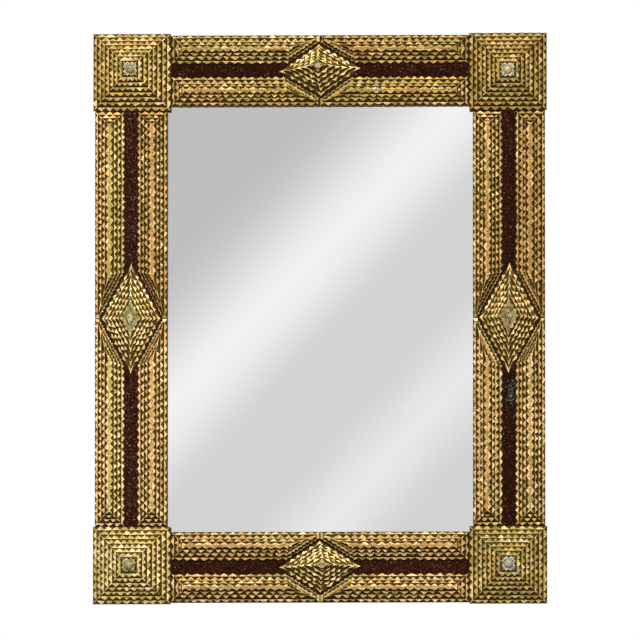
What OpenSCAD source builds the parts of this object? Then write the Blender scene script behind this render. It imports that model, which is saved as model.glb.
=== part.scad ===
// Wall mirror with a notch-carved tramp art frame.
// X points right as seen from the front, Z points up and the front faces -Y.
// The origin is the centre of the flat back, which lies against the wall.
// Depths are measured from the wall towards the front.

/* [Overall] */
// Width over the corner blocks
overall_w = 508; // [470:1:600]
// Height over the corner blocks
overall_h = 640; // [590:1:760]
// How far the corner blocks stand proud of the rails and stiles
corner_proud = 2; // [0.5:0.5:4]

/* [Frame boards] */
// Width of the upright stiles across their face
stile_w = 81; // [78:0.5:88]
// Width of the top and bottom rails across their face
rail_w = 79; // [76:0.5:86]
// Thickness of the boards that carry the carving
board_t = 18; // [16:0.5:24]
// Set-back of the boards' edges behind the edges of the slats
board_inset = 0.6; // [0.2:0.1:1.5]
// Glue line between wooden pieces
glue_line = 0.1; // [0.05:0.01:0.2]

/* [Slats] */
// Thickness of one notched slat
slat_t = 3.8; // [3:0.1:4.6]
// Number of slats in each run
run_layers = 4; // [2:1:4]
// Step of each slat of a run inside the one below it
run_step = 4.1; // [3.4:0.1:4.3]
// Step of each slat of a run at its slanted end beside the lozenge
end_step = 3.1; // [2.4:0.1:4]
// Gap between neighbouring runs, blocks and strips
cut_gap = 0.6; // [0.3:0.1:1.2]
// Gap between a lozenge and the slanted ends of the runs
lozenge_gap = 1.6; // [0.6:0.1:2.6]

/* [Notches] */
// Depth of the notches
notch_depth = 3.3; // [2:0.1:3.6]
// Spacing of the notches on the rails
rail_pitch = 9.3; // [8:0.1:11]
// Spacing of the notches on the stiles
stile_pitch = 8.2; // [7.4:0.1:10]
// Spacing of the notches on the corner blocks
corner_pitch = 8.6; // [7.8:0.1:10]
// Least half width of wood left between the notches of two edges
tip_half = 0.6; // [0.3:0.1:0.7]

/* [Corner blocks] */
// Width of the lowest slat of a corner block
corner_w = 87; // [84:0.5:92]
// Number of square slats in each corner block
corner_layers = 7; // [4:1:7]
// Step of each square slat inside the one below it
corner_step = 4.95; // [4.2:0.05:5.2]
// Width of the star-shaped square on top
star_w = 16.5; // [15:0.5:20]
// Thickness of the star-shaped square
star_t = 3; // [2.4:0.1:4]
// Depth of the star's notches
star_depth = 2.8; // [2:0.1:3.2]
// Diameter of the round tack head
tack_d = 9.5; // [8:0.1:11]
// Height of the tack head
tack_h = 3.4; // [2.6:0.1:4]
// Diameter of the tack's shank
shank_d = 2.4; // [2:0.1:3]
// Length of the tack's shank
shank_l = 12; // [9:0.5:16]
// Drift of the top of each corner block to the right of its base, as a hand-made frame has it: top left,
// bottom left, bottom right, top right
corner_drift_x = [-1.2, -2.2, 0.8, 0.4]; // [-2.5:0.1:2.5]
// Drift of the top of each corner block above its base
corner_drift_z = [1.9, -1.2, -0.3, -0.2]; // [-2.5:0.1:2.5]

/* [Lozenges] */
// Length of the lozenges on the rails
rail_lozenge_l = 92.5; // [84:0.5:104]
// Width of the lozenges on the rails
rail_lozenge_w = 59; // [56:0.5:66]
// Length of the lozenges on the stiles
stile_lozenge_l = 125.5; // [112:0.5:136]
// Width of the lozenges on the stiles
stile_lozenge_w = 67; // [62:0.5:72]
// Tilt of the top lozenge, anticlockwise as seen from the front, as a hand-made frame has it
top_tilt = 2.3; // [-3:0.1:3]
// Tilt of the left lozenge
left_tilt = -0.2; // [-3:0.1:3]
// Tilt of the bottom lozenge
bottom_tilt = 0.8; // [-3:0.1:3]
// Tilt of the right lozenge
right_tilt = -0.7; // [-3:0.1:3]
// Number of notched slats in each lozenge
lozenge_layers = 6; // [3:1:6]
// Step of each lozenge slat inside the one below it
lozenge_step = 3.7; // [3.2:0.05:3.8]
// Width of the plain lozenge on top
cap_w = 9; // [7:0.5:10]
// Thickness of the plain lozenge on top
cap_t = 2.6; // [2:0.1:4]
// Drift of the top of each lozenge to the right of its base: top, left, bottom, right
lozenge_drift_x = [-1.8, 0, 3, 0]; // [-4:0.1:4]
// Drift of the top of each lozenge above its base
lozenge_drift_z = [3.6, -1, 1, 0.7]; // [-4:0.1:4]

/* [Channels] */
// Width of the velvet channel between the two runs
channel_w = 14.5; // [12:0.5:17]
// Thickness of the velvet-covered strip that lines the channel
channel_t = 1.5; // [1:0.1:3]

/* [Glass and back board] */
// Thickness of the mirror glass
glass_t = 3; // [2:0.5:4]
// How far the glass reaches behind the frame's edge
glass_lap = 6.5; // [5:0.5:8]
// Play around the glass in its rabbet
glass_play = 0.75; // [0.5:0.05:1.5]
// Thickness of the back board
back_t = 4; // [3:0.5:5]
// How far the back board reaches behind the frame's edge
back_lap = 19; // [16:0.5:22]
// Play around the back board in its rabbet
back_play = 0.5; // [0.3:0.1:1]

/* [Nails] */
// Diameter of the nails that hold the corner laps
lap_nail_d = 2; // [1.6:0.1:2.6]
// Distance of the lap nails from the outer edges
lap_nail_edge = 15; // [12:0.5:20]
// Spacing of the lap nails
lap_nail_span = 32; // [28:0.5:36]
// Wood left in front of the lap nails' points
lap_nail_cover = 3; // [2:0.5:5]
// Diameter of the lap nails' heads
lap_head_d = 4.2; // [3.6:0.1:5]
// Height of the lap nails' heads
lap_head_h = 1; // [0.6:0.1:1.4]
// Diameter of the nails that hold the back board
back_nail_d = 1.2; // [1:0.1:1.6]
// Length of the nails that hold the back board
back_nail_l = 12; // [9:0.5:14]
// Diameter of the back board nails' heads
back_head_d = 2.9; // [2.4:0.1:3.4]
// Height of the back board nails' heads
back_head_h = 0.8; // [0.5:0.1:1]
// Number of back board nails along each side
side_nails = 5; // [3:1:7]
// Number of back board nails along the top and the bottom
end_nails = 4; // [2:1:6]
// Play around a nail, tack or screw in its hole
hole_play = 0.05; // [0.02:0.01:0.1]

/* [Hangers] */
// Height of the hangers' pivots above the middle of the mirror
hanger_up = 120; // [60:1:150]
// Depth of the pocket that each hanger lies in
pocket_d = 5; // [4.8:0.1:6.5]
// Free space around the hanger in its pocket
pocket_play = 2.8; // [2:0.1:4]
// Width of the hanger's strap
strap_w = 12; // [10:0.5:13]
// Length of the strap below the pivot
strap_l = 31; // [29:0.5:36]
// Thickness of the metal that the strap is folded from
strap_t = 0.8; // [0.6:0.05:0.9]
// Radius of the ring's round end, to the middle of its wire
ring_r = 10; // [9:0.25:12]
// Length of the ring's straight sides
ring_leg = 5; // [4:0.25:7]
// Diameter of the ring's wire
wire_d = 2.4; // [2:0.1:2.6]
// Radial play of the ring's wire in the strap's fold
pivot_play = 0.05; // [0.02:0.01:0.1]
// Gap between the ring and the floor of its pocket at rest
rest_gap = 0.3; // [0.2:0.05:0.5]
// Diameter of the screws' heads
head_d = 5.6; // [5:0.1:6]
// Height of the screws' heads
head_h = 1.4; // [1:0.1:1.5]
// Diameter of the screws' shanks
screw_d = 3; // [2.4:0.1:3.4]
// Length of the screws under their heads
screw_l = 11; // [8:0.5:12]
// Distance of the upper screw below the pivot
upper_screw_drop = 9; // [8.6:0.1:9.4]
// Distance of the lower screw above the strap's end
lower_screw_edge = 7; // [5:0.5:8]

/* [Hidden] */
$fn = 48;
SIDES = ["top", "left", "bottom", "right"];
CORNERS = ["top_left", "bottom_left", "bottom_right", "top_right"];
RUNS = ["outer", "inner"];

// Colours as the photograph shows them
gold = [0.72, 0.58, 0.28];
olive_gold = [0.66, 0.56, 0.27];
cream = [0.86, 0.83, 0.70];
maroon = [0.20, 0.09, 0.09];
old_wood = [0.45, 0.32, 0.20];
iron = [0.35, 0.33, 0.31];
brass = [0.70, 0.58, 0.32];
glass_grey = [0.78, 0.78, 0.78];
board_wood = [0.55, 0.42, 0.28];
dull_gold = [0.52, 0.47, 0.26];

// Opening between the slats of the frame
sight_w = overall_w - 2 * (corner_proud + stile_w);
sight_h = overall_h - 2 * (corner_proud + rail_w);
// Outer and inner edges of the boards, from the middle of the mirror
board_x = overall_w / 2 - corner_proud - board_inset;
board_z = overall_h / 2 - corner_proud - board_inset;
inner_x = sight_w / 2 + board_inset;
inner_z = sight_h / 2 + board_inset;
// Depth of the face between the two halves of a corner lap
lap_depth = board_t / 2;
// Pitch of one glued slat on the next
slat_rise = slat_t + glue_line;
// Depth at which the carving starts
face = board_t + glue_line;
// Depth of the top of a corner block, without its star
block_top = face + corner_layers * slat_rise;
// Depth of the glass's back face
glass_depth = back_t + glue_line;
// A little more than nothing, so that a cut passes the face it opens
past = 1;
// Slope below which two edges count as parallel
level = 0.001;
// Shortest edge that an outline keeps
least_edge = 0.05;

// Place of the hangers across the frame, halfway between the back board and the edge
hanger_x = (sight_w / 2 + back_lap + back_play + board_x) / 2;
// Radius of the strap's fold around the ring's bar
fold_r = wire_d / 2 + pivot_play + strap_t;
// Depth of the pivot
pivot_depth = pocket_d - fold_r;
// Height of the ring above its pivot, to the middle of its wire
ring_h = ring_leg + ring_r;
// Lean of the ring towards the floor of its pocket at rest
ring_lean = asin((fold_r - wire_d / 2 - rest_gap) / ring_h);
// Screws below the pivot
screw_drops = [upper_screw_drop, strap_l - lower_screw_edge];
// Depth of the strap's front face, under the screws' heads, and of the screws' points
screw_seat = pocket_d - 2 * strap_t;
screw_tip = screw_seat + screw_l;

// Length of the lap nails, and their places at the four corners
lap_nail_l = board_t - lap_nail_cover;
lap_nails_at = [for (sx = [-1, 1]) for (sz = [-1, 1]) each lap_nail_places(sx, sz)];
// Line of the back board's nails, outside the glass, and their places along it
back_nail_line = (glass_lap + glass_play + back_lap) / 2;
back_nails_at = concat(
    [for (sx = [-1, 1]) for (k = [0:side_nails - 1])
        [sx * (sight_w / 2 + back_nail_line), (k / (side_nails - 1) - 0.5) * (sight_h - back_nail_line)]],
    [for (sz = [-1, 1]) for (k = [0:end_nails - 1])
        [(k / (end_nails - 1) - 0.5) * (sight_w - back_nail_line), sz * (sight_h / 2 + back_nail_line)]]);

// Name of one run: the side it lies on, outer or inner, and which half of the side
function run_name(s, r, h) =
    str(s, "_", r, "_", (s == "top" || s == "bottom") ? ["left", "right"][h] : ["lower", "upper"][h], "_run");

// Whether a side is one of the rails
function is_rail(s) = s == "top" || s == "bottom";
// Turn of each side about the middle of the mirror, seen from the front
function turn(s) = 90 * search([s], SIDES)[0];
function member_w(s) = is_rail(s) ? rail_w : stile_w;
function pitch(s) = is_rail(s) ? rail_pitch : stile_pitch;
// Distance from the middle of the mirror to the mid-line of a side
function mid_line(s) = (is_rail(s) ? sight_h : sight_w) / 2 + member_w(s) / 2;
// Distance along a side from its middle to the corner block
function half_length(s) = (is_rail(s) ? overall_w : overall_h) / 2 - corner_w;
function lozenge_half(s) = is_rail(s) ? [rail_lozenge_l / 2, rail_lozenge_w / 2]
                                      : [stile_lozenge_l / 2, stile_lozenge_w / 2];

function tilt(s) = [top_tilt, left_tilt, bottom_tilt, right_tilt][turn(s) / 90];

// Direction of a vector, and a vector turned by an angle
function unit(v) = v / norm(v);
function turned(v, a) = [v.x * cos(a) - v.y * sin(a), v.x * sin(a) + v.y * cos(a)];
function after(pts, i) = pts[(i + 1) % len(pts)];

// Cuts a convex outline along the line n * p = c and keeps the side below it
function cut(pts, n, c) = [for (i = [0:len(pts) - 1])
    let (a = pts[i], b = after(pts, i), da = n * a - c, db = n * b - c)
    each concat(da <= 0 ? [a] : [], da * db < 0 ? [a + (b - a) * da / (da - db)] : [])];

// Leaves out points that almost touch the next one
function tidy(pts) = [for (i = [0:len(pts) - 1]) if (norm(after(pts, i) - pts[i]) > least_edge) pts[i]];

// Shrinks a convex anticlockwise outline by d on every side
function inset(pts, d, i = 0, out = undef) =
    let (rest = is_undef(out) ? pts : out)
    i == len(pts) ? tidy(rest)
    : let (t = unit(after(pts, i) - pts[i]), n = [t.y, -t.x])
      inset(pts, d, i + 1, cut(rest, n, n * pts[i] - d));

// Stretch of edge i that can be notched: every notch stays nearer to its own edge than to any other
function notch_span(pts, i, p, depth) =
    let (a = pts[i], length = norm(after(pts, i) - a), t = unit(after(pts, i) - a),
         floor = a + depth * [-t.y, t.x], need = depth + tip_half,
         ends = [for (j = [0:len(pts) - 1]) if (j != i)
             let (u = unit(after(pts, j) - pts[j]), m = [-u.y, u.x], spare = m * (floor - pts[j]) - need,
                  rate = m * t)
             rate > level ? [-spare / rate, length] : rate < -level ? [0, -spare / rate]
             : spare > 0 ? [0, length] : [length, 0]])
    [max(p / 2, max([for (e = ends) e[0]])), min(length - p / 2, min([for (e = ends) e[1]]))];

// Cuts V notches along the edges of an outline, with whole tips at its corners. An edge with the normal
// given as bare stays without notches
function notched(pts, p, depth, bare = undef) = [for (i = [0:len(pts) - 1])
    let (a = pts[i], t = unit(after(pts, i) - a), inward = [-t.y, t.x], span = notch_span(pts, i, p, depth),
         free = span[1] - span[0], plain = !is_undef(bare) && abs(t * bare) < level,
         count = free < 0 || plain ? 0 : round(free / p) + 1,
         gap = count > 1 ? free / (count - 1) : 0, first = count == 1 ? span[0] + free / 2 : span[0])
    each concat([a], [for (k = [0:1:count - 1])
        each concat([a + t * (first + k * gap) + inward * depth],
                    k < count - 1 ? [a + t * (first + (k + 0.5) * gap)] : [])])];

// The line along a lozenge's edge, as its normal and its distance: the edge above the long axis for up = 1
// and the one below it for up = -1, on the half where x is positive
function edge_normal(s, up, lean) = let (loz = lozenge_half(s)) turned(unit([1 / loz.x, up / loz.y]), lean);
function edge_reach(s) = let (loz = lozenge_half(s)) 1 / norm([1 / loz.x, 1 / loz.y]);

// Plain outline of slat k of a run, beside the middle of its side and outside its mid-line
function run_outline(s, lean, k) =
    let (by = k * run_step, low = channel_w / 2 + by, high = member_w(s) / 2 - by,
         start = cut_gap / 2 + by, end = half_length(s) - cut_gap - by)
    tidy(cut([[start, low], [end, low], [end, high], [start, high]],
             -edge_normal(s, 1, lean), -edge_reach(s) - lozenge_gap - k * end_step));

// Depth of the notches in slat k of a run: the narrow top slat keeps a neck between its two edges
function run_notch(s, k) =
    min(notch_depth, (member_w(s) - channel_w) / 4 - k * run_step - 2 * tip_half);

// Plain outline of one channel strip: its end follows the tip of the lozenge
function strip_outline(s, lean) =
    let (end = half_length(s) - cut_gap, half = channel_w / 2 - cut_gap / 2, reach = edge_reach(s) + cut_gap,
         up = edge_normal(s, 1, lean), down = edge_normal(s, -1, lean), loz = lozenge_half(s),
         tip = turned([reach * norm([1, loz.x / loz.y]), 0], lean))
    [tip, [(reach + down.y * half) / down.x, -half], [end, -half], [end, half],
     [(reach - up.y * half) / up.x, half]];

function lozenge_outline(half) = [[half.x, 0], [0, half.y], [-half.x, 0], [0, -half.y]];
function square_outline(w) = [[w, -w] / 2, [w, w] / 2, [-w, w] / 2, [-w, -w] / 2];

// Lays a flat outline in the plane of the mirror, from one depth towards the front
module layer(depth, thick) {
    translate([0, -depth, 0]) rotate([90, 0, 0]) linear_extrude(height = thick) children();
}

// A box given by its low and high X, its low and high Z and its low and high depth
module slab(x, z, d) {
    translate([x[0], -d[1], z[0]]) cube([x[1] - x[0], d[1] - d[0], z[1] - z[0]]);
}

// A round bar along the depth
module bar(x, z, from, to, d) {
    translate([x, -from, z]) rotate([90, 0, 0]) cylinder(h = to - from, d = d);
}

// Brings an outline drawn about a side's mid-line to that side
module on_side(s) {
    rotate(turn(s)) translate([0, mid_line(s)]) children();
}

// Centre of each corner block
function corner_at(i) =
    [(i < 2 ? -1 : 1) * (overall_w - corner_w) / 2, (i == 0 || i == 3 ? 1 : -1) * (overall_h - corner_w) / 2];

// Shift of a corner block's top against its base, and of its slat k
function corner_drift(i) = [corner_drift_x[i], corner_drift_z[i]];
function corner_slat_at(i, k) = corner_at(i) + corner_drift(i) * k / (corner_layers - 1);
function corner_top(i) = corner_at(i) + corner_drift(i);

// Shift of a lozenge's slat k against its base, as seen from the front
function lozenge_shift(s, k) =
    let (i = turn(s) / 90) [lozenge_drift_x[i], lozenge_drift_z[i]] * k / (lozenge_layers - 1);

// Rabbets for the glass and for the back board, open towards the back
module rabbets() {
    glass_half = glass_lap + glass_play;
    back_half = back_lap + back_play;
    slab([-1, 1] * (sight_w / 2 + back_half), [-1, 1] * (sight_h / 2 + back_half), [-past, back_t]);
    slab([-1, 1] * (sight_w / 2 + glass_half), [-1, 1] * (sight_h / 2 + glass_half),
         [-past, glass_depth + glass_t + glue_line]);
}

// Places of the nails through one corner lap, for the quarter given by the signs sx and sz
function lap_nail_places(sx, sz) =
    let (x = board_x - lap_nail_edge, z = board_z - lap_nail_edge)
    [[sx * x, sz * z], [sx * (x - lap_nail_span), sz * z], [sx * x, sz * (z - lap_nail_span)]];

// A nail from the back, or its hole with some play
module nail(at, length, d, head_d, head_h, play) {
    bar(at.x, at.y, 0, head_h, head_d + 2 * play);
    bar(at.x, at.y, head_h / 2, length + play, d + 2 * play);
}

module lap_nail_cuts() {
    for (at = lap_nails_at) {
        bar(at.x, at.y, -past, lap_head_h, lap_head_d + 2 * hole_play);
        nail(at, lap_nail_l, lap_nail_d, lap_head_d, lap_head_h, hole_play);
    }
}

module back_nail_cuts() {
    for (at = back_nails_at) {
        bar(at.x, at.y, -past, back_head_h, back_head_d + 2 * hole_play);
        nail(at, back_nail_l, back_nail_d, back_head_d, back_head_h, hole_play);
    }
}

// A rail: full thickness between the stiles, its front half over them
module rail(sz) {
    color(old_wood) difference() {
        slab([-board_x, board_x], sz > 0 ? [inner_z, board_z] : [-board_z, -inner_z], [0, board_t]);
        for (sx = [-1, 1])
            slab(sx > 0 ? [inner_x - glue_line, board_x + past] : [-board_x - past, glue_line - inner_x],
                 [-board_z - past, board_z + past], [-past, lap_depth + glue_line]);
        rabbets();
        lap_nail_cuts();
        back_nail_cuts();
    }
}

module top_rail() rail(1);
module bottom_rail() rail(-1);

// Pocket in the back of a stile for its hanger
module pocket(sx) {
    half = ring_r + wire_d / 2 + pocket_play;
    slab([sx * hanger_x - half, sx * hanger_x + half],
         [hanger_up - strap_l - pocket_play, hanger_up + ring_h + wire_d / 2 + pocket_play],
         [-past, pocket_d]);
    for (drop = screw_drops)
        bar(sx * hanger_x, hanger_up - drop, pocket_d - past, screw_tip + hole_play, screw_d + 2 * hole_play);
}

// A stile: full thickness between the rails, its back half under them
module stile(sx) {
    color(old_wood) difference() {
        slab(sx > 0 ? [inner_x, board_x] : [-board_x, -inner_x], [-board_z, board_z], [0, board_t]);
        for (sz = [-1, 1])
            slab([-board_x - past, board_x + past],
                 sz > 0 ? [inner_z - glue_line, board_z + past] : [-board_z - past, glue_line - inner_z],
                 [lap_depth, board_t + past]);
        rabbets();
        lap_nail_cuts();
        back_nail_cuts();
        pocket(sx);
    }
}

module left_stile() stile(-1);
module right_stile() stile(1);

module lap_nails() {
    color(iron) for (at = lap_nails_at) nail(at, lap_nail_l, lap_nail_d, lap_head_d, lap_head_h, 0);
}

module mirror_glass() {
    color(glass_grey)
        slab([-1, 1] * (sight_w / 2 + glass_lap), [-1, 1] * (sight_h / 2 + glass_lap),
             [glass_depth, glass_depth + glass_t]);
}

module back_board() {
    color(board_wood) difference() {
        slab([-1, 1] * (sight_w / 2 + back_lap), [-1, 1] * (sight_h / 2 + back_lap), [0, back_t]);
        back_nail_cuts();
    }
}

module back_nails() {
    color(iron)
        for (at = back_nails_at) nail(at, back_nail_l, back_nail_d, back_head_d, back_head_h, 0);
}

// Velvet-covered strip along each half of a side's channel, cut to the tip of the lozenge
module channel_strip(s) {
    color(maroon) for (m = [0, 1])
        layer(face, channel_t) on_side(s) mirror([m, 0])
            polygon(strip_outline(s, tilt(s) * (1 - 2 * m)));
}

// One run: a stack of notched slats along half of a side
module run(s, r, h) {
    upper_or_right = h == 1;
    positive = (s == "top" || s == "left") ? upper_or_right : !upper_or_right;
    lean = tilt(s) * (positive ? 1 : -1) * (r == "outer" ? 1 : -1);
    color(gold) for (k = [0:run_layers - 1])
        layer(face + k * slat_rise, slat_t) on_side(s)
            mirror([0, r == "outer" ? 0 : 1]) mirror([positive ? 0 : 1, 0])
                polygon(notched(run_outline(s, lean, k), pitch(s), run_notch(s, k), edge_normal(s, 1, lean)));
}

// Hole for a tack's shank
module tack_hole(at) {
    bar(at.x, at.y, block_top + star_t - shank_l - hole_play, block_top + star_t + past,
        shank_d + 2 * hole_play);
}

module corner_block(i) {
    color(olive_gold) for (k = [0:corner_layers - 1])
        difference() {
            layer(face + k * slat_rise, slat_t) translate(corner_slat_at(i, k))
                polygon(notched(square_outline(corner_w - 2 * k * corner_step), corner_pitch, notch_depth));
            tack_hole(corner_top(i));
        }
}

module star(i) {
    at = corner_top(i);
    color(cream) difference() {
        layer(block_top, star_t) translate(at)
            polygon(notched(square_outline(star_w), star_w / 2, star_depth));
        tack_hole(at);
    }
}

// A tack: a low dome on a round shank
module tack(i) {
    at = corner_top(i);
    r = tack_d / 2;
    ball = (r * r + tack_h * tack_h) / (2 * tack_h);
    seat = block_top + star_t;
    color(olive_gold) {
        translate([at.x, -seat, at.y]) intersection() {
            translate([0, ball - tack_h, 0]) sphere(r = ball);
            rotate([90, 0, 0]) cylinder(h = tack_h + past, r = tack_d);
        }
        bar(at.x, at.y, seat - shank_l, seat + tack_h / 2, shank_d);
    }
}

module lozenge(s) {
    color(olive_gold) for (k = [0:lozenge_layers - 1])
        layer(face + k * slat_rise, slat_t) translate(lozenge_shift(s, k))
            on_side(s) rotate(tilt(s)) polygon(
                notched(inset(lozenge_outline(lozenge_half(s)), k * lozenge_step), pitch(s), notch_depth));
}

module lozenge_cap(s) {
    half = lozenge_half(s);
    color(dull_gold)
        layer(face + lozenge_layers * slat_rise, cap_t) translate(lozenge_shift(s, lozenge_layers - 1))
            on_side(s) rotate(tilt(s)) polygon(lozenge_outline(half * cap_w / (2 * half.y)));
}

// Strap of folded metal, screwed into its pocket, with the fold around the ring's bar
module strap_hanger(sx) {
    x = sx * hanger_x;
    end_z = hanger_up - strap_l + strap_w / 2;
    color(brass) difference() {
        union() {
            slab([x - strap_w / 2, x + strap_w / 2], [end_z, hanger_up], [screw_seat, pocket_d]);
            bar(x, end_z, screw_seat, pocket_d, strap_w);
            translate([x - strap_w / 2, -pivot_depth, hanger_up]) rotate([0, 90, 0])
                cylinder(h = strap_w, r = fold_r);
        }
        translate([x - strap_w, -pivot_depth, hanger_up]) rotate([0, 90, 0])
            cylinder(h = 2 * strap_w, r = wire_d / 2 + pivot_play);
        for (drop = screw_drops)
            bar(x, hanger_up - drop, screw_seat - past, pocket_d + past, screw_d + 2 * hole_play);
    }
}

module left_strap_hanger() strap_hanger(-1);
module right_strap_hanger() strap_hanger(1);

// D-shaped ring, standing up in its pocket and leaning on its floor
module hang_ring(sx) {
    color(brass) translate([sx * hanger_x, -pivot_depth, hanger_up]) rotate([ring_lean, 0, 0]) {
        translate([-ring_r, 0, 0]) rotate([0, 90, 0]) cylinder(h = 2 * ring_r, d = wire_d);
        for (m = [-1, 1]) {
            translate([m * ring_r, 0, 0]) sphere(d = wire_d);
            translate([m * ring_r, 0, 0]) cylinder(h = ring_leg, d = wire_d);
        }
        translate([0, 0, ring_leg]) rotate([90, 0, 0])
            rotate_extrude(angle = 180) translate([ring_r, 0]) circle(d = wire_d);
    }
}

module left_hang_ring() hang_ring(-1);
module right_hang_ring() hang_ring(1);

module hanger_screws() {
    color(iron) for (sx = [-1, 1]) for (drop = screw_drops) {
        bar(sx * hanger_x, hanger_up - drop, screw_seat - head_h, screw_seat, head_d);
        bar(sx * hanger_x, hanger_up - drop, screw_seat - head_h / 2, screw_tip, screw_d);
    }
}

top_rail();
bottom_rail();
left_stile();
right_stile();
lap_nails();
mirror_glass();
back_board();
back_nails();
for (s = SIDES) {
    channel_strip(s);
    lozenge(s);
    lozenge_cap(s);
    for (r = RUNS) for (h = [0, 1])
        run(s, r, h);
}
for (i = [0:3]) {
    corner_block(i);
    star(i);
    tack(i);
}
left_strap_hanger();
right_strap_hanger();
left_hang_ring();
right_hang_ring();
hanger_screws();
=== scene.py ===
import math
import random

import bpy
from bpy.props import FloatProperty, FloatVectorProperty, IntProperty, PointerProperty
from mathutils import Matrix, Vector, noise


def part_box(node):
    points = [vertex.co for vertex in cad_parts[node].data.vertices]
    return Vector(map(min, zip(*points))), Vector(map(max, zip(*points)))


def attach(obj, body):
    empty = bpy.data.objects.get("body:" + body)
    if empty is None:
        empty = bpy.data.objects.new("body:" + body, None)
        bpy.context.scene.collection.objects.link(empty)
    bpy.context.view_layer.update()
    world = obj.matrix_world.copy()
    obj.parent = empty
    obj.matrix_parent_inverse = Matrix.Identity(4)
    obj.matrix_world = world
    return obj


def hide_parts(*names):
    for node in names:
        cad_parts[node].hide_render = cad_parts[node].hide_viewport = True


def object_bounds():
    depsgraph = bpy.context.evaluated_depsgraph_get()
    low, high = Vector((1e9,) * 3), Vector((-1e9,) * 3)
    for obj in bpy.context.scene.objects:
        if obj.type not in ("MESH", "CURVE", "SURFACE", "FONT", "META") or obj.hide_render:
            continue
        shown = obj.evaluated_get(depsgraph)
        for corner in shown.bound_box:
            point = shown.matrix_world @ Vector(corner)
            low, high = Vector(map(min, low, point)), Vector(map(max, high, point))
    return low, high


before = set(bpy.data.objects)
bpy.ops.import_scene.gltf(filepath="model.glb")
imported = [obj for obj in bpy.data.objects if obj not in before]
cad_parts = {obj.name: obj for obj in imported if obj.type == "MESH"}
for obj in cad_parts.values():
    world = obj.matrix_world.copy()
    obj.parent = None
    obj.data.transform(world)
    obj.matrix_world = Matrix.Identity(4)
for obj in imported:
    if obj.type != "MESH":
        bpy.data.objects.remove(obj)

bl_info = {
    "name": "Tramp art wall mirror",
    "version": (1, 0, 0),
    "blender": (4, 5, 0),
    "location": "3D View > Sidebar > Mirror",
    "description": "Dresses a notch-carved wall mirror: gilded slats, velvet, glass, boards and hangers",
    "category": "Add Mesh",
}

CAD_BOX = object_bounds()
SIDES = ("top", "left", "bottom", "right")
CORNERS = ("top_left", "bottom_left", "bottom_right", "top_right")
HALVES = {"top": ("left", "right"), "bottom": ("left", "right"),
          "left": ("lower", "upper"), "right": ("lower", "upper")}


def size_of(node):
    """Widths of a CAD node along X, Y and Z."""
    low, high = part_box(node)
    return high - low


# Sizes that the carving shares with the solids it stands for
BLOCK_W = size_of("top_left_corner_block").x
OVERALL = Vector((CAD_BOX[1].x - CAD_BOX[0].x, CAD_BOX[1].z - CAD_BOX[0].z))
RAIL_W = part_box("top_outer_left_run")[1].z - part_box("top_inner_left_run")[0].z
STILE_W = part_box("right_outer_upper_run")[1].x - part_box("right_inner_upper_run")[0].x
CHANNEL_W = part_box("top_outer_left_run")[0].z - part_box("top_inner_left_run")[1].z
SIGHT = Vector((2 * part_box("right_inner_upper_run")[0].x, 2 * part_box("top_inner_left_run")[0].z))
FACE = -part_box("top_left_corner_block")[1].y
CAP_SEAT = -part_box("top_lozenge_cap")[1].y
# Long and short axis of the lozenges, before the gap around them
RAIL_LOZENGE = Vector((0.0925, 0.059))
STILE_LOZENGE = Vector((0.1255, 0.067))

SHORTEST = 0.00005   # edges of an outline that are shorter are left out
PARALLEL = 0.001     # sine of the angle between two edges that still count as parallel


def length_prop(label, text, value):
    """A size in metres."""
    return FloatProperty(name=label, description=text, default=value, unit="LENGTH")


def angle_prop(label, text, degrees):
    """An angle, given in degrees."""
    return FloatProperty(name=label, description=text, default=math.radians(degrees), subtype="ANGLE")


def number_prop(label, text, value):
    """A plain number."""
    return FloatProperty(name=label, description=text, default=value)


def count_prop(label, text, value, low):
    """A number of slats, which can't be more than the solids have."""
    return IntProperty(name=label, description=text, default=value, min=low, max=value)


def colour_prop(label, text, *value):
    """A colour, as red, green and blue."""
    return FloatVectorProperty(name=label, description=text, default=value, subtype="COLOR", size=3)


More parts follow.
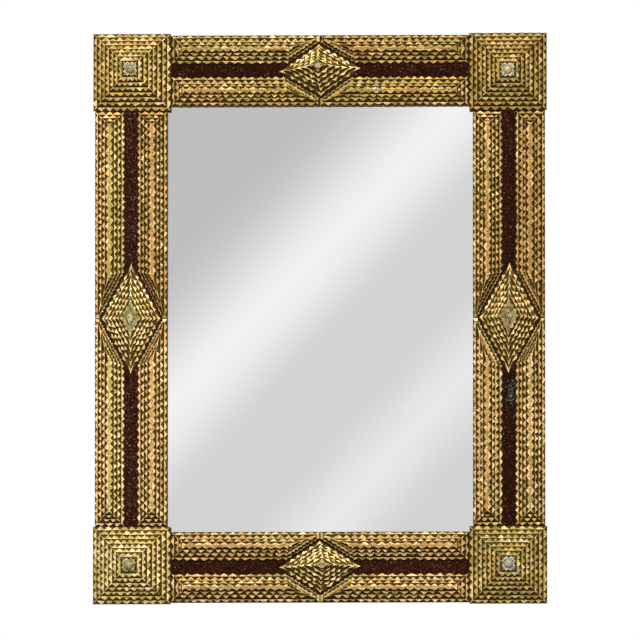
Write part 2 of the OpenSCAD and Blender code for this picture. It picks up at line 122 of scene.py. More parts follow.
class CarvingSizes(bpy.types.PropertyGroup):
    """Sizes of the notched slats and how evenly the knife went."""
    slat: length_prop("Slat", "Thickness of one slat", 0.0038)
    rise: length_prop("Rise", "Pitch of one slat on the next", 0.0039)
    gap: length_prop("Gap", "Gap between neighbouring pieces", 0.0006)
    lozenge_gap: length_prop("Lozenge gap", "Gap between a lozenge and the runs beside it", 0.0016)
    depth: length_prop("Notch depth", "Depth of the notches", 0.0042)
    block_depth: length_prop("Block notch depth", "Depth of the notches in the corner blocks", 0.0041)
    lozenge_depth: length_prop("Lozenge notch depth", "Depth of the notches in the lozenges", 0.0038)
    nick: length_prop("Nicks", "Depth of the nicks along the slanted ends of the runs", 0.0019)
    # The seam's dark line is dirt and painted shade
    seam: length_prop("Seam", "Width of the dirty line along the foot of each slat", 0.0009)
    tip_half: length_prop("Tip", "Least half width of wood between two edges' notches", 0.0006)
    lozenge_tip: length_prop("Lozenge tip", "Least half width of wood left at a lozenge's tips", 0.0030)
    rail_pitch: length_prop("Rail pitch", "Spacing of the notches on the rails", 0.0093)
    stile_pitch: length_prop("Stile pitch", "Spacing of the notches on the stiles", 0.0082)
    block_pitch: length_prop("Block pitch", "Spacing of the notches on the corner blocks", 0.0086)
    run_layers: count_prop("Run slats", "Number of slats in each run", 4, 2)
    block_layers: count_prop("Block slats", "Number of slats in each corner block", 7, 4)
    lozenge_layers: count_prop("Lozenge slats", "Number of slats in each lozenge", 6, 3)
    run_step: length_prop("Run step", "Step of each slat of a run", 0.0041)
    end_step: length_prop("End step", "Step of each slat at the slanted ends of the runs", 0.0031)
    block_step: length_prop("Block step", "Step of each slat of a corner block", 0.00495)
    lozenge_step: length_prop("Lozenge step", "Step of each slat of a lozenge", 0.0037)
    worn_edge: length_prop("Worn edge", "Width of the rubbed arris on every tooth", 0.00035)
    unevenness: FloatProperty(name="Unevenness", default=1.0, min=0.0, max=1.5,
                              description="How unevenly the notches are cut, 0 for a machine")
    top_tilt: angle_prop("Top tilt", "Tilt of the top lozenge", 2.3)
    left_tilt: angle_prop("Left tilt", "Tilt of the left lozenge", -0.2)
    bottom_tilt: angle_prop("Bottom tilt", "Tilt of the bottom lozenge", 0.8)
    right_tilt: angle_prop("Right tilt", "Tilt of the right lozenge", -0.7)


class GildingColours(bpy.types.PropertyGroup):
    """Colours of the gold paint and of what shows through it."""
    gold: colour_prop("Gold", "Gold paint where it lies thick", 0.61, 0.375, 0.085)
    # Pale gold also lies on the rubbed arris of every tooth, as worn paint and a painted highlight
    pale: colour_prop("Pale gold", "Rubbed high spots", 0.96, 0.745, 0.40)
    orange: colour_prop("Copper gold", "Warm patches of the paint", 0.84, 0.44, 0.17)
    olive: colour_prop("Olive gold", "Greenish patches of the paint", 0.49, 0.41, 0.12)
    # The thin paints in the notches are dark partly as painted shade
    thin: colour_prop("Thin gold", "Dull paint on the cut sides of the notches", 0.135, 0.063, 0.003)
    moss: colour_prop("Thin olive gold", "Dull greenish paint in the notches", 0.110, 0.075, 0.004)
    rust: colour_prop("Thin copper gold", "Dull reddish paint in the notches", 0.118, 0.040, 0.006)
    # Recess brown is also the colour of the painted shade in the hollows and along the foot of each slat
    brown: colour_prop("Recess brown", "Dark wood and dirt in the notches", 0.036, 0.016, 0.0012)
    speck: colour_prop("Worn speck", "Pale specks on the worn tops of the lozenges", 0.58, 0.54, 0.33)
    bare: colour_prop("Bare speck", "Dark specks on the worn tops of the lozenges", 0.060, 0.048, 0.018)
    silver: colour_prop("Silver", "Paint of the stars", 0.60, 0.57, 0.44)
    yellowed: colour_prop("Yellowed silver", "Patches of the stars' paint", 0.42, 0.36, 0.13)
    # The star dirt is also the colour of the painted shade in the stars' corners
    star_dirt_and_shade: colour_prop("Star dirt", "Dirt in the corners of the stars", 0.040, 0.026, 0.012)
    tack_gold: colour_prop("Tack gold", "Gold paint on the tacks", 0.50, 0.41, 0.14)
    tack_brown: colour_prop("Tack brown", "Brown specks on the tacks", 0.22, 0.12, 0.030)


class VelvetColours(bpy.types.PropertyGroup):
    """Colours of the velvet in the channels."""
    pile: colour_prop("Pile", "Maroon of the velvet", 0.028, 0.0064, 0.0025)
    light_pile: colour_prop("Brushed pile", "Maroon where the pile lies over", 0.078, 0.020, 0.0085)
    mauve: colour_prop("Crushed pile", "Dusty mauve where the pile is crushed", 0.30, 0.125, 0.090)
    lint: colour_prop("Lint", "Specks of dust and lint", 0.46, 0.37, 0.28)
    backing: colour_prop("Backing", "Threads where the pile is worn away", 0.20, 0.16, 0.11)


class BackColours(bpy.types.PropertyGroup):
    """Colours of the bare wood, the glass and the metal at the back."""
    board_light: colour_prop("Board, light", "Early wood of the frame boards", 0.36, 0.21, 0.10)
    board_dark: colour_prop("Board, dark", "Late wood of the frame boards", 0.17, 0.085, 0.035)
    board_front: colour_prop("Board, front", "Dark stain on the front of the boards", 0.020, 0.011, 0.004)
    back_light: colour_prop("Back, light", "Early wood of the back board", 0.47, 0.32, 0.18)
    back_dark: colour_prop("Back, dark", "Late wood of the back board", 0.26, 0.15, 0.07)
    iron: colour_prop("Iron", "Nails", 0.10, 0.085, 0.075)
    rust: colour_prop("Rust", "Rust on the nails", 0.12, 0.05, 0.025)
    brass: colour_prop("Brass", "Hangers", 0.62, 0.44, 0.18)
    # The brass dirt, like the steel dirt below, also colours the painted shade in the metal's corners
    brass_dirt_and_shade: colour_prop("Brass dirt", "Dirt on the hangers", 0.13, 0.09, 0.04)
    steel: colour_prop("Steel", "Screws", 0.42, 0.40, 0.38)
    steel_dirt_and_shade: colour_prop("Steel dirt", "Dirt on the screws", 0.13, 0.08, 0.05)


class StageSettings(bpy.types.PropertyGroup):
    """Floor, light and camera."""
    azimuth: angle_prop("Azimuth", "Camera's turn to the right of the front", 2.0)
    elevation: angle_prop("Elevation", "Camera's height over the middle", -4.2)
    distance: length_prop("Distance", "Distance of the camera", 20.0)
    aim: length_prop("Aim", "Height of the point that the camera looks at", -0.0018)
    picture: length_prop("Picture", "Width of the picture at the mirror", 0.7158)
    ambient_high: number_prop("Ambient above", "Strength of the light from above", 0.21)
    ambient_low: number_prop("Ambient below", "Strength of the light from below", 0.105)
    sun: number_prop("Even light", "Strength of the even light above", 1.59)
    key: number_prop("Key", "Power of the near light above the middle", 11.0)
    screen: length_prop("Screen", "Distance of the screen that the glass mirrors", 3.0)


# Outlines, in the plane of the mirror


def turned(v, by):
    """A flat vector turned anticlockwise."""
    c, s = math.cos(by), math.sin(by)
    return Vector((v[0] * c - v[1] * s, v[0] * s + v[1] * c))


def inward(along):
    """The direction into an anticlockwise outline from an edge."""
    return Vector((-along.y, along.x))


def around(n):
    """Each index of a ring with the next one."""
    return [(i, (i + 1) % n) for i in range(n)]


def edges(points):
    """Each corner of an outline with the next one and the direction of the edge between them."""
    for i, j in around(len(points)):
        yield points[i], points[j], (points[j] - points[i]).normalized()


def cleaned(points):
    """An outline without its shortest edges."""
    return [a for a, b, _ in edges(points) if (b - a).length > SHORTEST]


def cut(points, normal, limit):
    """Cuts a convex outline along a line and keeps the side below it."""
    kept = []
    for a, b, _ in edges(points):
        da, db = normal.dot(a) - limit, normal.dot(b) - limit
        if da <= 0:
            kept.append(a)
        if da * db < 0:
            kept.append(a.lerp(b, da / (da - db)))
    return kept


def inset(points, distance):
    """Shrinks a convex anticlockwise outline, by one distance or by one for each edge."""
    kept = points
    for i, (a, _, along) in enumerate(list(edges(points))):
        out = -inward(along)
        kept = cut(kept, out, out.dot(a) - (distance[i] if hasattr(distance, "__len__") else distance))
        if len(kept) < 3:
            return []
    return cleaned(kept)


def notch_span(points, i, pitch, depth, tip_half):
    """Stretch of edge i where every notch stays nearer to its own edge than to any other."""
    pairs = list(edges(points))
    a, b, along = pairs[i]
    reach = (b - a).length
    floor = a + depth * inward(along)
    low, high = pitch / 2, reach - pitch / 2
    for j, (other, _, way) in enumerate(pairs):
        if j == i:
            continue
        spare = inward(way).dot(floor - other) - depth - tip_half
        rate = inward(way).dot(along)
        if rate > PARALLEL:
            low = max(low, -spare / rate)
        elif rate < -PARALLEL:
            high = min(high, -spare / rate)
        elif spare <= 0:
            low = reach
    return low, high


# Spacing of the nicks as a share of the notches', how far a notch was set off its place, as a share of the
# spacing, and how much the spacing strays from edge to edge and at most
NICK_PITCH, OFF_PLACE, PITCH_STRAY = 0.55, 0.14, (0.06, 0.12)


def rim(points, knife, depth, bare=None):
    """Marks around an outline: the kind of each, its edge, its place, the way along and the way in.
    An edge along bare gets shallow nicks that are closer together. Every edge was spaced out by eye."""
    nick, marks = knife.sizes.nick, []
    pairs = list(edges(points))
    for i, (a, _, along) in enumerate(pairs):
        before = pairs[i - 1][2]
        mitre = inward(before) + inward(along)
        mitre /= max(0.3, 1 + inward(before).dot(inward(along)))
        marks.append(("corner", i, a, along, mitre))
        plain = bare is not None and abs(along.dot(bare)) < PARALLEL
        apart = knife.pitch * (NICK_PITCH if plain else 1.0) * (1 + knife.spread(*PITCH_STRAY))
        low, high = notch_span(points, i, apart, nick if plain else depth, knife.tip_half)
        free = high - low
        number = 0 if free < 0 or (plain and not nick) else math.floor(free / apart + 0.5) + 1
        gap = free / (number - 1) if number > 1 else 0
        first = low + free / 2 if number == 1 else low
        places = [first + (k + (knife.spread(0.5) * OFF_PLACE if 0 < k < number - 1 else 0)) * gap
                  for k in range(number)]
        for k, place in enumerate(places):
            marks.append(("valley", i, a + along * place, along, inward(along)))
            if k < number - 1:
                marks.append(("tip", i, a + along * (place + places[k + 1]) / 2, along, inward(along)))
    return marks


def pick(side, rail, stile):
    """The value for a rail at the top or bottom, or for a stile at the left or right."""
    return rail if side in ("top", "bottom") else stile


def half_length(side):
    """From the middle of a side to its corner block."""
    return pick(side, OVERALL.x, OVERALL.y) / 2 - BLOCK_W


def lozenge_half(side):
    """Half the long and the short axis of a side's lozenge."""
    return pick(side, RAIL_LOZENGE, STILE_LOZENGE) / 2


def to_side(side, points):
    """Brings an outline drawn about a side's mid-line to that side, anticlockwise."""
    mid = (pick(side, SIGHT.y, SIGHT.x) + pick(side, RAIL_W, STILE_W)) / 2
    there = [turned((p[0], p[1] + mid), SIDES.index(side) * math.pi / 2) for p in points]
    area = sum(a.x * b.y - a.y * b.x for a, b, _ in edges(there))
    return there if area > 0 else there[::-1]


def edge_line(side, up, lean, gap):
    """Normal and reach of the line one gap outside a lozenge's edge, above its long axis or below it."""
    half = lozenge_half(side)
    flat = Vector((1 / half.x, up / half.y))
    return turned(flat.normalized(), lean), 1 / flat.length + gap


def outline_of(*corners):
    return [Vector(p) for p in corners]


def run_outline(side, lean, sizes, k):
    """Plain outline of slat k of a run, beside the middle of its side, and the normal of its slanted end."""
    by = k * sizes.run_step
    start, end = sizes.gap / 2 + by, half_length(side) - sizes.gap - by
    low, high = CHANNEL_W / 2 + by, pick(side, RAIL_W, STILE_W) / 2 - by
    normal, reach = edge_line(side, 1, lean, sizes.lozenge_gap + k * sizes.end_step)
    box = outline_of((start, low), (end, low), (end, high), (start, high))
    return cleaned(cut(box, -normal, -reach)), normal


def run_notch(side, sizes, k):
    """Depth of the notches in slat k of a run: shallower in the lowest slat, and the narrow top slat keeps a
    neck between its two edges."""
    lowest, neck_share = 0.8, 1.2
    neck = (pick(side, RAIL_W, STILE_W) - CHANNEL_W) / 4 - k * sizes.run_step - neck_share * sizes.tip_half
    return min(sizes.depth * (1.0 if k else lowest), neck)


def strip_outline(side, lean, gap):
    """Plain outline of one channel strip, whose end follows the tip of the lozenge."""
    end, half, loz = half_length(side) - gap, CHANNEL_W / 2 - gap / 2, lozenge_half(side)
    (up, reach), (down, _) = edge_line(side, 1, lean, gap), edge_line(side, -1, lean, gap)
    tip = turned((reach * math.hypot(1, loz.x / loz.y), 0), lean)
    return outline_of(tip, ((reach + down.y * half) / down.x, -half), (end, -half), (end, half),
                      ((reach - up.y * half) / up.x, half))


def lozenge_outline(half):
    return outline_of((half.x, 0), (0, half.y), (-half.x, 0), (0, -half.y))


def box_outline(width, height):
    w, h = width / 2, height / 2
    return outline_of((w, -h), (w, h), (-w, h), (-w, -h))


def shifted(outline, by):
    return [p + by for p in outline]


def middle_of(node):
    """Middle of a CAD node, seen from the front."""
    low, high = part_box(node)
    return Vector(((low.x + high.x) / 2, (low.z + high.z) / 2))


# Meshes


class Stack:
    """Mesh of one piece under construction, with values for its finish at every face corner: how deep it lies,
    which darkens it with thin paint, dirt and painted shade, how rubbed it is, its tint and its lightness."""
    LABELS = ("recess", "worn", "tone", "shade")

    def __init__(self):
        self.points, self.faces, self.kinds = [], [], []
        self.values = {label: [] for label in self.LABELS}

    def point(self, flat, depth):
        self.points.append((flat[0], -depth, flat[1]))
        return len(self.points) - 1

    def ring(self, flats, depths):
        return [self.point(p, d) for p, d in zip(flats, depths)]

    def face(self, corners, recess=0.0, worn=0.0, tone=0.0, shade=0.0, kind=0):
        """Adds one face, leaving out corners that lie on each other. A value may be given for every corner."""
        given = [v if hasattr(v, "__len__") else [v] * len(corners) for v in (recess, worn, tone, shade)]
        seen, kept = set(), []
        for i, c in enumerate(corners):
            place = tuple(round(x, 6) for x in self.points[c])
            if place not in seen:
                seen.add(place)
                kept.append(i)
        if len(kept) > 2:
            self.faces.append([corners[i] for i in kept])
            self.kinds.append(kind)
            for label, row in zip(self.LABELS, given):
                self.values[label].extend(row[i] for i in kept)

    def sleeve(self, rings, **values):
        """Joins each ring of points to the next."""
        for under, over in zip(rings, rings[1:]):
            for i, j in around(len(under)):
                self.face((under[i], under[j], over[j], over[i]), **values)

    def cushion(self, tops, feet, flip, worn=None, **tint):
        """A pad: a sheet of points over walls that stand on the feet, with one face beneath."""
        n, m = len(tops) - 1, len(tops[0]) - 1

        def add(corners, rubbed=0.0):
            self.face(corners[::-1] if flip else corners, worn=rubbed, **tint)

        for k in range(n):
            for i in range(m):
                rubbed = worn(k, i) if worn else 0.0
                add((tops[k][i], tops[k + 1][i], tops[k + 1][i + 1], tops[k][i + 1]), rubbed)
            add((feet[k][0], feet[k + 1][0], tops[k + 1][0], tops[k][0]))
            add((feet[k + 1][m], feet[k][m], tops[k][m], tops[k + 1][m]))
        for i in range(m):
            add((feet[0][i + 1], feet[0][i], tops[0][i], tops[0][i + 1]))
            add((feet[n][i], feet[n][i + 1], tops[n][i + 1], tops[n][i]))
        loop = [row[0] for row in feet] + feet[n][1:] + [row[m] for row in feet[-2::-1]] + feet[0][m - 1:0:-1]
        add(list(dict.fromkeys(loop))[::-1])

    def build(self, name, materials, smooth=False):
        mesh = bpy.data.meshes.new(name)
        mesh.from_pydata(self.points, [], self.faces)
        for label, values in self.values.items():
            mesh.attributes.new(label, "FLOAT", "CORNER").data.foreach_set("value", values)
        mesh.polygons.foreach_set("material_index", self.kinds)
        mesh.validate()
        mesh.update()
        for material in materials:
            mesh.materials.append(material)
        if smooth:
            mesh.shade_smooth()
        return added(name, mesh)


def added(name, data):
    """An object for a mesh, a light or a camera."""
    thing = bpy.data.objects.new(name, data)
    bpy.context.scene.collection.objects.link(thing)
    return thing


class Knife:
    """How one piece was cut and how its paint lies: the sizes, the random draws and the tints."""

    def __init__(self, sizes, seed, pitch, tone=0.0, shade=0.0, dust=0.0):
        self.sizes, self.rng, self.pitch = sizes, random.Random(seed), pitch
        self.tone, self.shade, self.dust, self.tip_half = tone, shade, dust, sizes.tip_half
        self.lean, self.ring, self.seam = 0.0, FOOT_DIRT_AND_SHADE, sizes.seam

    def spread(self, share, most=1.0):
        """A bell-shaped draw, cut off at both ends."""
        return self.sizes.unevenness * max(-most, min(most, self.rng.gauss(0, share)))

    def nudge(self, by):
        """A small shift to any side."""
        return Vector((self.spread(0.5), self.spread(0.5))) * by


# How dark the faces of a slat are, from 0 for bright paint to 1 for bare wood, with thin paint, dirt and painted
# shade, the sides of a notch darker than its bottom: the bottom and the sides of a notch, its mouth at the foot
# of the slat, a plain side, the wood under an arris and the land behind the notches
HOLLOW, NOTCH_SIDE, NOTCH_FOOT, PLAIN_SIDE, UNDER_ARRIS, LAND_DIRT = 0.56, 0.76, 0.60, 0.35, 0.3, 0.2
# The same around the foot of the next slat, where the dark line is dirt and painted shade, on a top that carries
# none, along its rim and on the smallest tops
FOOT_DIRT_AND_SHADE, TOP_DIRT, RIM_DIRT, SMALL_TOP_DIRT = 0.88, 0.3, 0.05, 0.2
# The same for a slanted end, and how far its arris is rubbed and given the painted highlight
BARE_DIRT, BARE_RUB = 0.25, 0.2
# How the knife strays: how much shallower a notch may be, its slant and its skew, as shares of its depth
SHALLOW, SLANT, SKEW = 0.14, 0.35, 0.25
# Share of the teeth that are chipped, how short they are, and how unevenly the others end
CHIPPED, CHIP, BLUNT = 0.12, (0.0006, 0.0014), 0.00016
# Half width of the flat on a tooth, as shares of the pitch, and how far its tip is worn down
FLAT, WIDER_FLAT, WORN_DOWN, WORN_MORE = 0.004, 0.09, 0.0001, 0.0007
# How far the tint and the lightness stray from one tooth to the next
TONE_STRAY, SHADE_STRAY = 0.15, 0.8


def carve_slat(stack, outline, low, thick, depth, knife, bare=None, step=None, bare_step=None, kind=0):
    """One slat with knife-cut notches: each V is deepest at the top face and runs out at the bottom edge.
    The next slat stands back by a step, and dirt and painted shade lie along its foot."""
    sizes, rng = knife.sizes, knife.rng
    worn, rough = sizes.worn_edge, sizes.unevenness
    plain = [bare is not None and abs(along.dot(bare)) < PARALLEL for _, _, along in edges(outline)]
    lines = [((bare_step if p else step) or 0) - knife.seam for p in plain]
    marks = []
    lot = knife.spread(0.7)

    def mark(kind, edge, place, along, into, foot, crest, drop):
        marks.append(dict(kind=kind, edge=edge, place=place, along=along, into=into, foot=foot, crest=crest,
                          drop=rough * drop, shade=knife.shade + SHADE_STRAY * lot,
                          tone=knife.tone + TONE_STRAY * lot + knife.lean * into.x))

    for shape, edge, place, along, into in rim(outline, knife, depth, bare):
        if shape == "valley":
            reach = (sizes.nick if plain[edge] else depth) * (1 - min(0.4, rough * abs(rng.gauss(0, SHALLOW))))
            slant, skew = knife.spread(0.4) * reach * SLANT, knife.spread(0.4) * reach * SKEW
            mark(shape, edge, place, along, into, place + into * 0.0002 + along * skew,
                 place + into * reach + along * slant, rng.uniform(0, 0.0001))
            lot = knife.spread(0.7)
        elif shape == "tip":
            chipped = rng.random() < CHIPPED * rough
            reach = rough * (rng.uniform(*CHIP) if chipped else abs(rng.gauss(0, BLUNT)))
            wide = knife.pitch * (0.5 if plain[edge] else 1.0)
            middle = place + along * knife.spread(0.3) * wide * 0.10
            land = wide * (FLAT + WIDER_FLAT * rng.random() ** 2)
            drop = WORN_DOWN + rng.random() ** 3 * WORN_MORE
            for way in (-1, 1):
                point = middle + along * land * way
                mark(shape, edge, point, along, into, point, point + into * reach, drop * rng.uniform(0.7, 1.3))
        else:
            mark(shape, edge, place, along, into, Vector(place),
                 place + into * rough * rng.uniform(0.0001, 0.0005), rng.uniform(0.0001, 0.0004))
            lot = knife.spread(0.7)
    if step:
        marks = seam_marks(marks, lines)
    n, kinds, share = len(marks), [m["kind"] for m in marks], 1 - worn / thick
    base = [None if m["kind"] == "flank" else stack.point(m["foot"], low) for m in marks]
    for i, m in enumerate(marks):
        if base[i] is None:
            base[i] = base[(i + m["way"]) % n]
    upper = [stack.point(m["foot"].lerp(m["crest"], share), low + thick - worn - m["drop"]) for m in marks]
    crest = [stack.point(m["crest"], low + thick - m["drop"]) for m in marks]
    ledge_at = inset(outline, [max(depth * (not p), line) + 0.0001 for p, line in zip(plain, lines)])
    ledge = seam = None
    if len(ledge_at) == len(outline):
        ledge = [stack.point(project(ledge_at, m), low + thick) for m in marks]
    seam_at = inset(outline, lines) if step else []
    if len(seam_at) == len(outline):
        seam = [crest[i] if m["kind"] == "flank" or m.get("deep")
                else stack.point(project(seam_at, m), low + thick) for i, m in enumerate(marks)]
    cut_marks = ("valley", "flank")
    for i, j in around(n):
        tint = dict(tone=marks[j]["tone"], shade=marks[j]["shade"])
        notch = kinds[i] in cut_marks or kinds[j] in cut_marks
        dust = knife.dust * max(0.55, -marks[i]["into"].y)
        hollow = [(HOLLOW if kinds[m] == "valley" else NOTCH_SIDE) + dust if notch else PLAIN_SIDE
                  for m in (i, j)]
        foot = NOTCH_FOOT + dust if notch else 1.0
        if kinds[j] in cut_marks and kinds[i] != "valley":
            stack.face((base[i], base[j], upper[i]), (foot, foot, hollow[0]), **tint)
            stack.face((base[j], upper[j], upper[i]), (foot, hollow[1], hollow[0]), **tint)
        else:
            stack.face((base[i], base[j], upper[j]), (foot, foot, hollow[1]), **tint)
            stack.face((base[i], upper[j], upper[i]), (foot, hollow[1], hollow[0]), **tint)
        bared = plain[marks[i]["edge"]] and plain[marks[j]["edge"]]
        stack.face((upper[i], upper[j], crest[j], crest[i]), (UNDER_ARRIS, UNDER_ARRIS, 0.0, 0.0),
                   BARE_RUB if bared else 1, **tint)
        if seam:
            dull = BARE_DIRT if bared else 0.0
            behind = dull + LAND_DIRT
            stack.face((crest[i], crest[j], seam[j], seam[i]), (dull, dull, behind, behind), **tint)
            stack.face((seam[i], seam[j], ledge[j], ledge[i]), knife.ring, **tint)
        elif ledge:
            stack.face((crest[i], crest[j], ledge[j], ledge[i]), (RIM_DIRT, RIM_DIRT, TOP_DIRT, TOP_DIRT),
                       kind=kind, **tint)
    covered = (knife.ring if step else TOP_DIRT) if ledge else SMALL_TOP_DIRT
    stack.face(ledge or crest, covered, 0, knife.tone, knife.shade, kind)
    stack.face([b for i, b in enumerate(base) if kinds[i] != "flank"][::-1], 1)


def seam_marks(marks, lines):
    """Adds a mark on each side of every notch, where the dark line of dirt and painted shade along the next
    slat's foot crosses it.
    """
    out = []
    for i, j in around(len(marks)):
        a, b = marks[i], marks[j]
        out.append(a)
        if (a["kind"] == "valley") == (b["kind"] == "valley"):
            continue
        valley, other, way = (b, a, 1) if b["kind"] == "valley" else (a, b, -1)
        line = lines[valley["edge"]]
        deep = valley["into"].dot(valley["crest"] - valley["place"])
        shallow = valley["into"].dot(other["crest"] - valley["place"])
        share = (line - shallow) / max(0.0001, deep - shallow)
        if 0.03 < share < 0.97:
            valley["deep"] = True
            out.append(dict(valley, kind="flank", way=way, crest=other["crest"].lerp(valley["crest"], share),
                            drop=other["drop"] + (valley["drop"] - other["drop"]) * share,
                            tone=other["tone"], shade=other["shade"]))
    return out


def project(inner, mark):
    """Place of a mark on the line that runs behind the notches of its edge."""
    a, b = inner[mark["edge"]], inner[(mark["edge"] + 1) % len(inner)]
    if mark["kind"] == "corner":
        return Vector(a)
    reach = max(0.0, min((b - a).length, (mark["place"] - a).dot(mark["along"])))
    return a + mark["along"] * reach


# A plain slat has a point every so often along its edges, each a little off the line and off the level
PLAIN_SPACING, PLAIN_OFF, PLAIN_LOW = 0.0015, 0.0001, 0.00006


def plain_slat(stack, outline, low, thick, worn, knife):
    """A small slat with rubbed edges and no notches, each edge broken by a few uneven points."""
    flat, rng = [], knife.rng
    for a, b, along in edges(outline):
        steps = max(2, round((b - a).length / PLAIN_SPACING))
        for k in range(steps):
            flat.append(a.lerp(b, k / steps) + inward(along) * rng.uniform(0, PLAIN_OFF))
    middle = sum(outline, Vector((0, 0))) / len(outline)
    rings = []
    for share, depth in ((0.0, 0.0), (0.0, thick - worn), (0.35, thick - worn * 0.35), (1.0, thick)):
        rings.append(stack.ring([p + (middle - p).normalized() * worn * share for p in flat],
                                [low + depth - (rng.uniform(0, PLAIN_LOW) if share else 0) for _ in flat]))
    tint = dict(tone=knife.tone, shade=knife.shade)
    stack.sleeve(rings[:2], recess=(0.8, 0.8, 0.25, 0.25), **tint)
    stack.sleeve(rings[1:], worn=1.0, **tint)
    stack.face(rings[-1], 0.05, **tint)
    stack.face(rings[0][::-1], 1)


# Finishes


def dim(colour, share):
    """A colour made darker."""
    return [c * share for c in colour]


class Finish:
    """One node tree, of a material or of the world, built from short calls."""

    def __init__(self, name, new=None):
        self.data = (new or bpy.data.materials.new)(name)
        self.data.use_nodes = True
        self.tree = self.data.node_tree
        self.tree.nodes.clear()
        self.place = self.node("TexCoord", "Object")

    def put(self, socket, value):
        """Links a socket to a value, or sets it."""
        if isinstance(value, bpy.types.NodeSocket):
            self.tree.links.new(value, socket)
        else:
            socket.default_value = (*value, 1) if socket.type == "RGBA" else value

    def node(self, kind, output, inputs=(), **traits):
        """Adds a node, with its inputs by name or number, and gives one of its outputs."""
        node = self.tree.nodes.new("ShaderNode" + kind)
        for label, value in traits.items():
            setattr(node, label, value)
        for label, value in dict(inputs).items():
            self.put(node.inputs[label], value)
        return node.outputs[output]

    def attribute(self, name):
        return self.node("Attribute", "Fac", attribute_name=name)

    def axis(self, letter):
        """Object coordinate along one axis."""
        return self.node("SeparateXYZ", letter, {0: self.place})

    def stretch(self, letter, share):
        """Object coordinates drawn out along one axis."""
        return self.node("Mapping", "Vector", {"Vector": self.place,
                                               "Scale": [share if a == letter else 1.0 for a in "XYZ"]})

    def noise(self, scale, detail=3.0, rough=0.55, twist=0.0, at=None):
        return self.node("TexNoise", "Fac", {"Vector": at or self.place, "Scale": scale, "Detail": detail,
                                             "Roughness": rough, "Distortion": twist})

    def cells(self, scale):
        return self.node("TexVoronoi", "Distance", {"Vector": self.place, "Scale": scale})

    def span(self, value, low, high, to_low=0.0, to_high=1.0, soft=True):
        """A value brought from one range to another, eased at both ends."""
        return self.node("MapRange", "Result", {"Value": value, "From Min": low, "From Max": high,
                                                "To Min": to_low, "To Max": to_high},
                         interpolation_type="SMOOTHSTEP" if soft else "LINEAR")

    def math(self, kind, a, b, clamp=False):
        return self.node("Math", "Value", {0: a, 1: b}, operation=kind, use_clamp=clamp)

    def plus(self, a, b, clamp=False):
        return self.math("ADD", a, b, clamp)

    def less(self, a, b):
        return self.math("SUBTRACT", a, b)

    def times(self, a, b):
        return self.math("MULTIPLY", a, b)

    def over(self, a, b):
        return self.math("DIVIDE", a, b)

    def most(self, a, b):
        return self.math("MAXIMUM", a, b)

    def rough(self, value, grain, share):
        """A value made uneven by a noise around one half."""
        return self.plus(value, self.times(self.less(grain, 0.5), share))

    def mix(self, share, a, b):
        return self.node("Mix", 2, {0: share, 6: a, 7: b}, data_type="RGBA")

    def scaled(self, colour, factor):
        """A colour made lighter or darker."""
        return self.node("VectorMath", "Vector", {0: colour, "Scale": factor}, operation="SCALE")

    def crevice(self, distance):
        """How open a place is, 1 in the open and 0 deep in a corner."""
        return self.node("AmbientOcclusion", "AO", {"Distance": distance}, samples=6)

    def bump(self, height, distance, strength):
        return self.node("Bump", "Normal", {"Strength": strength, "Distance": distance, "Height": height})

    def mix_shaders(self, share, a, b):
        return self.node("MixShader", "Shader", {"Fac": share, 1: a, 2: b})

    def principled(self, **sockets):
        """The surface itself. Names of sockets are written with _ for spaces."""
        return self.node("BsdfPrincipled", "BSDF", {label.replace("_", " "): v for label, v in sockets.items()})

    def show(self, shader, output="OutputMaterial"):
        """Makes a shader the one that is seen."""
        self.put(self.tree.nodes.new("ShaderNode" + output).inputs["Surface"], shader)
        return self.data

    def surface(self, **sockets):
        return self.show(self.principled(**sockets))


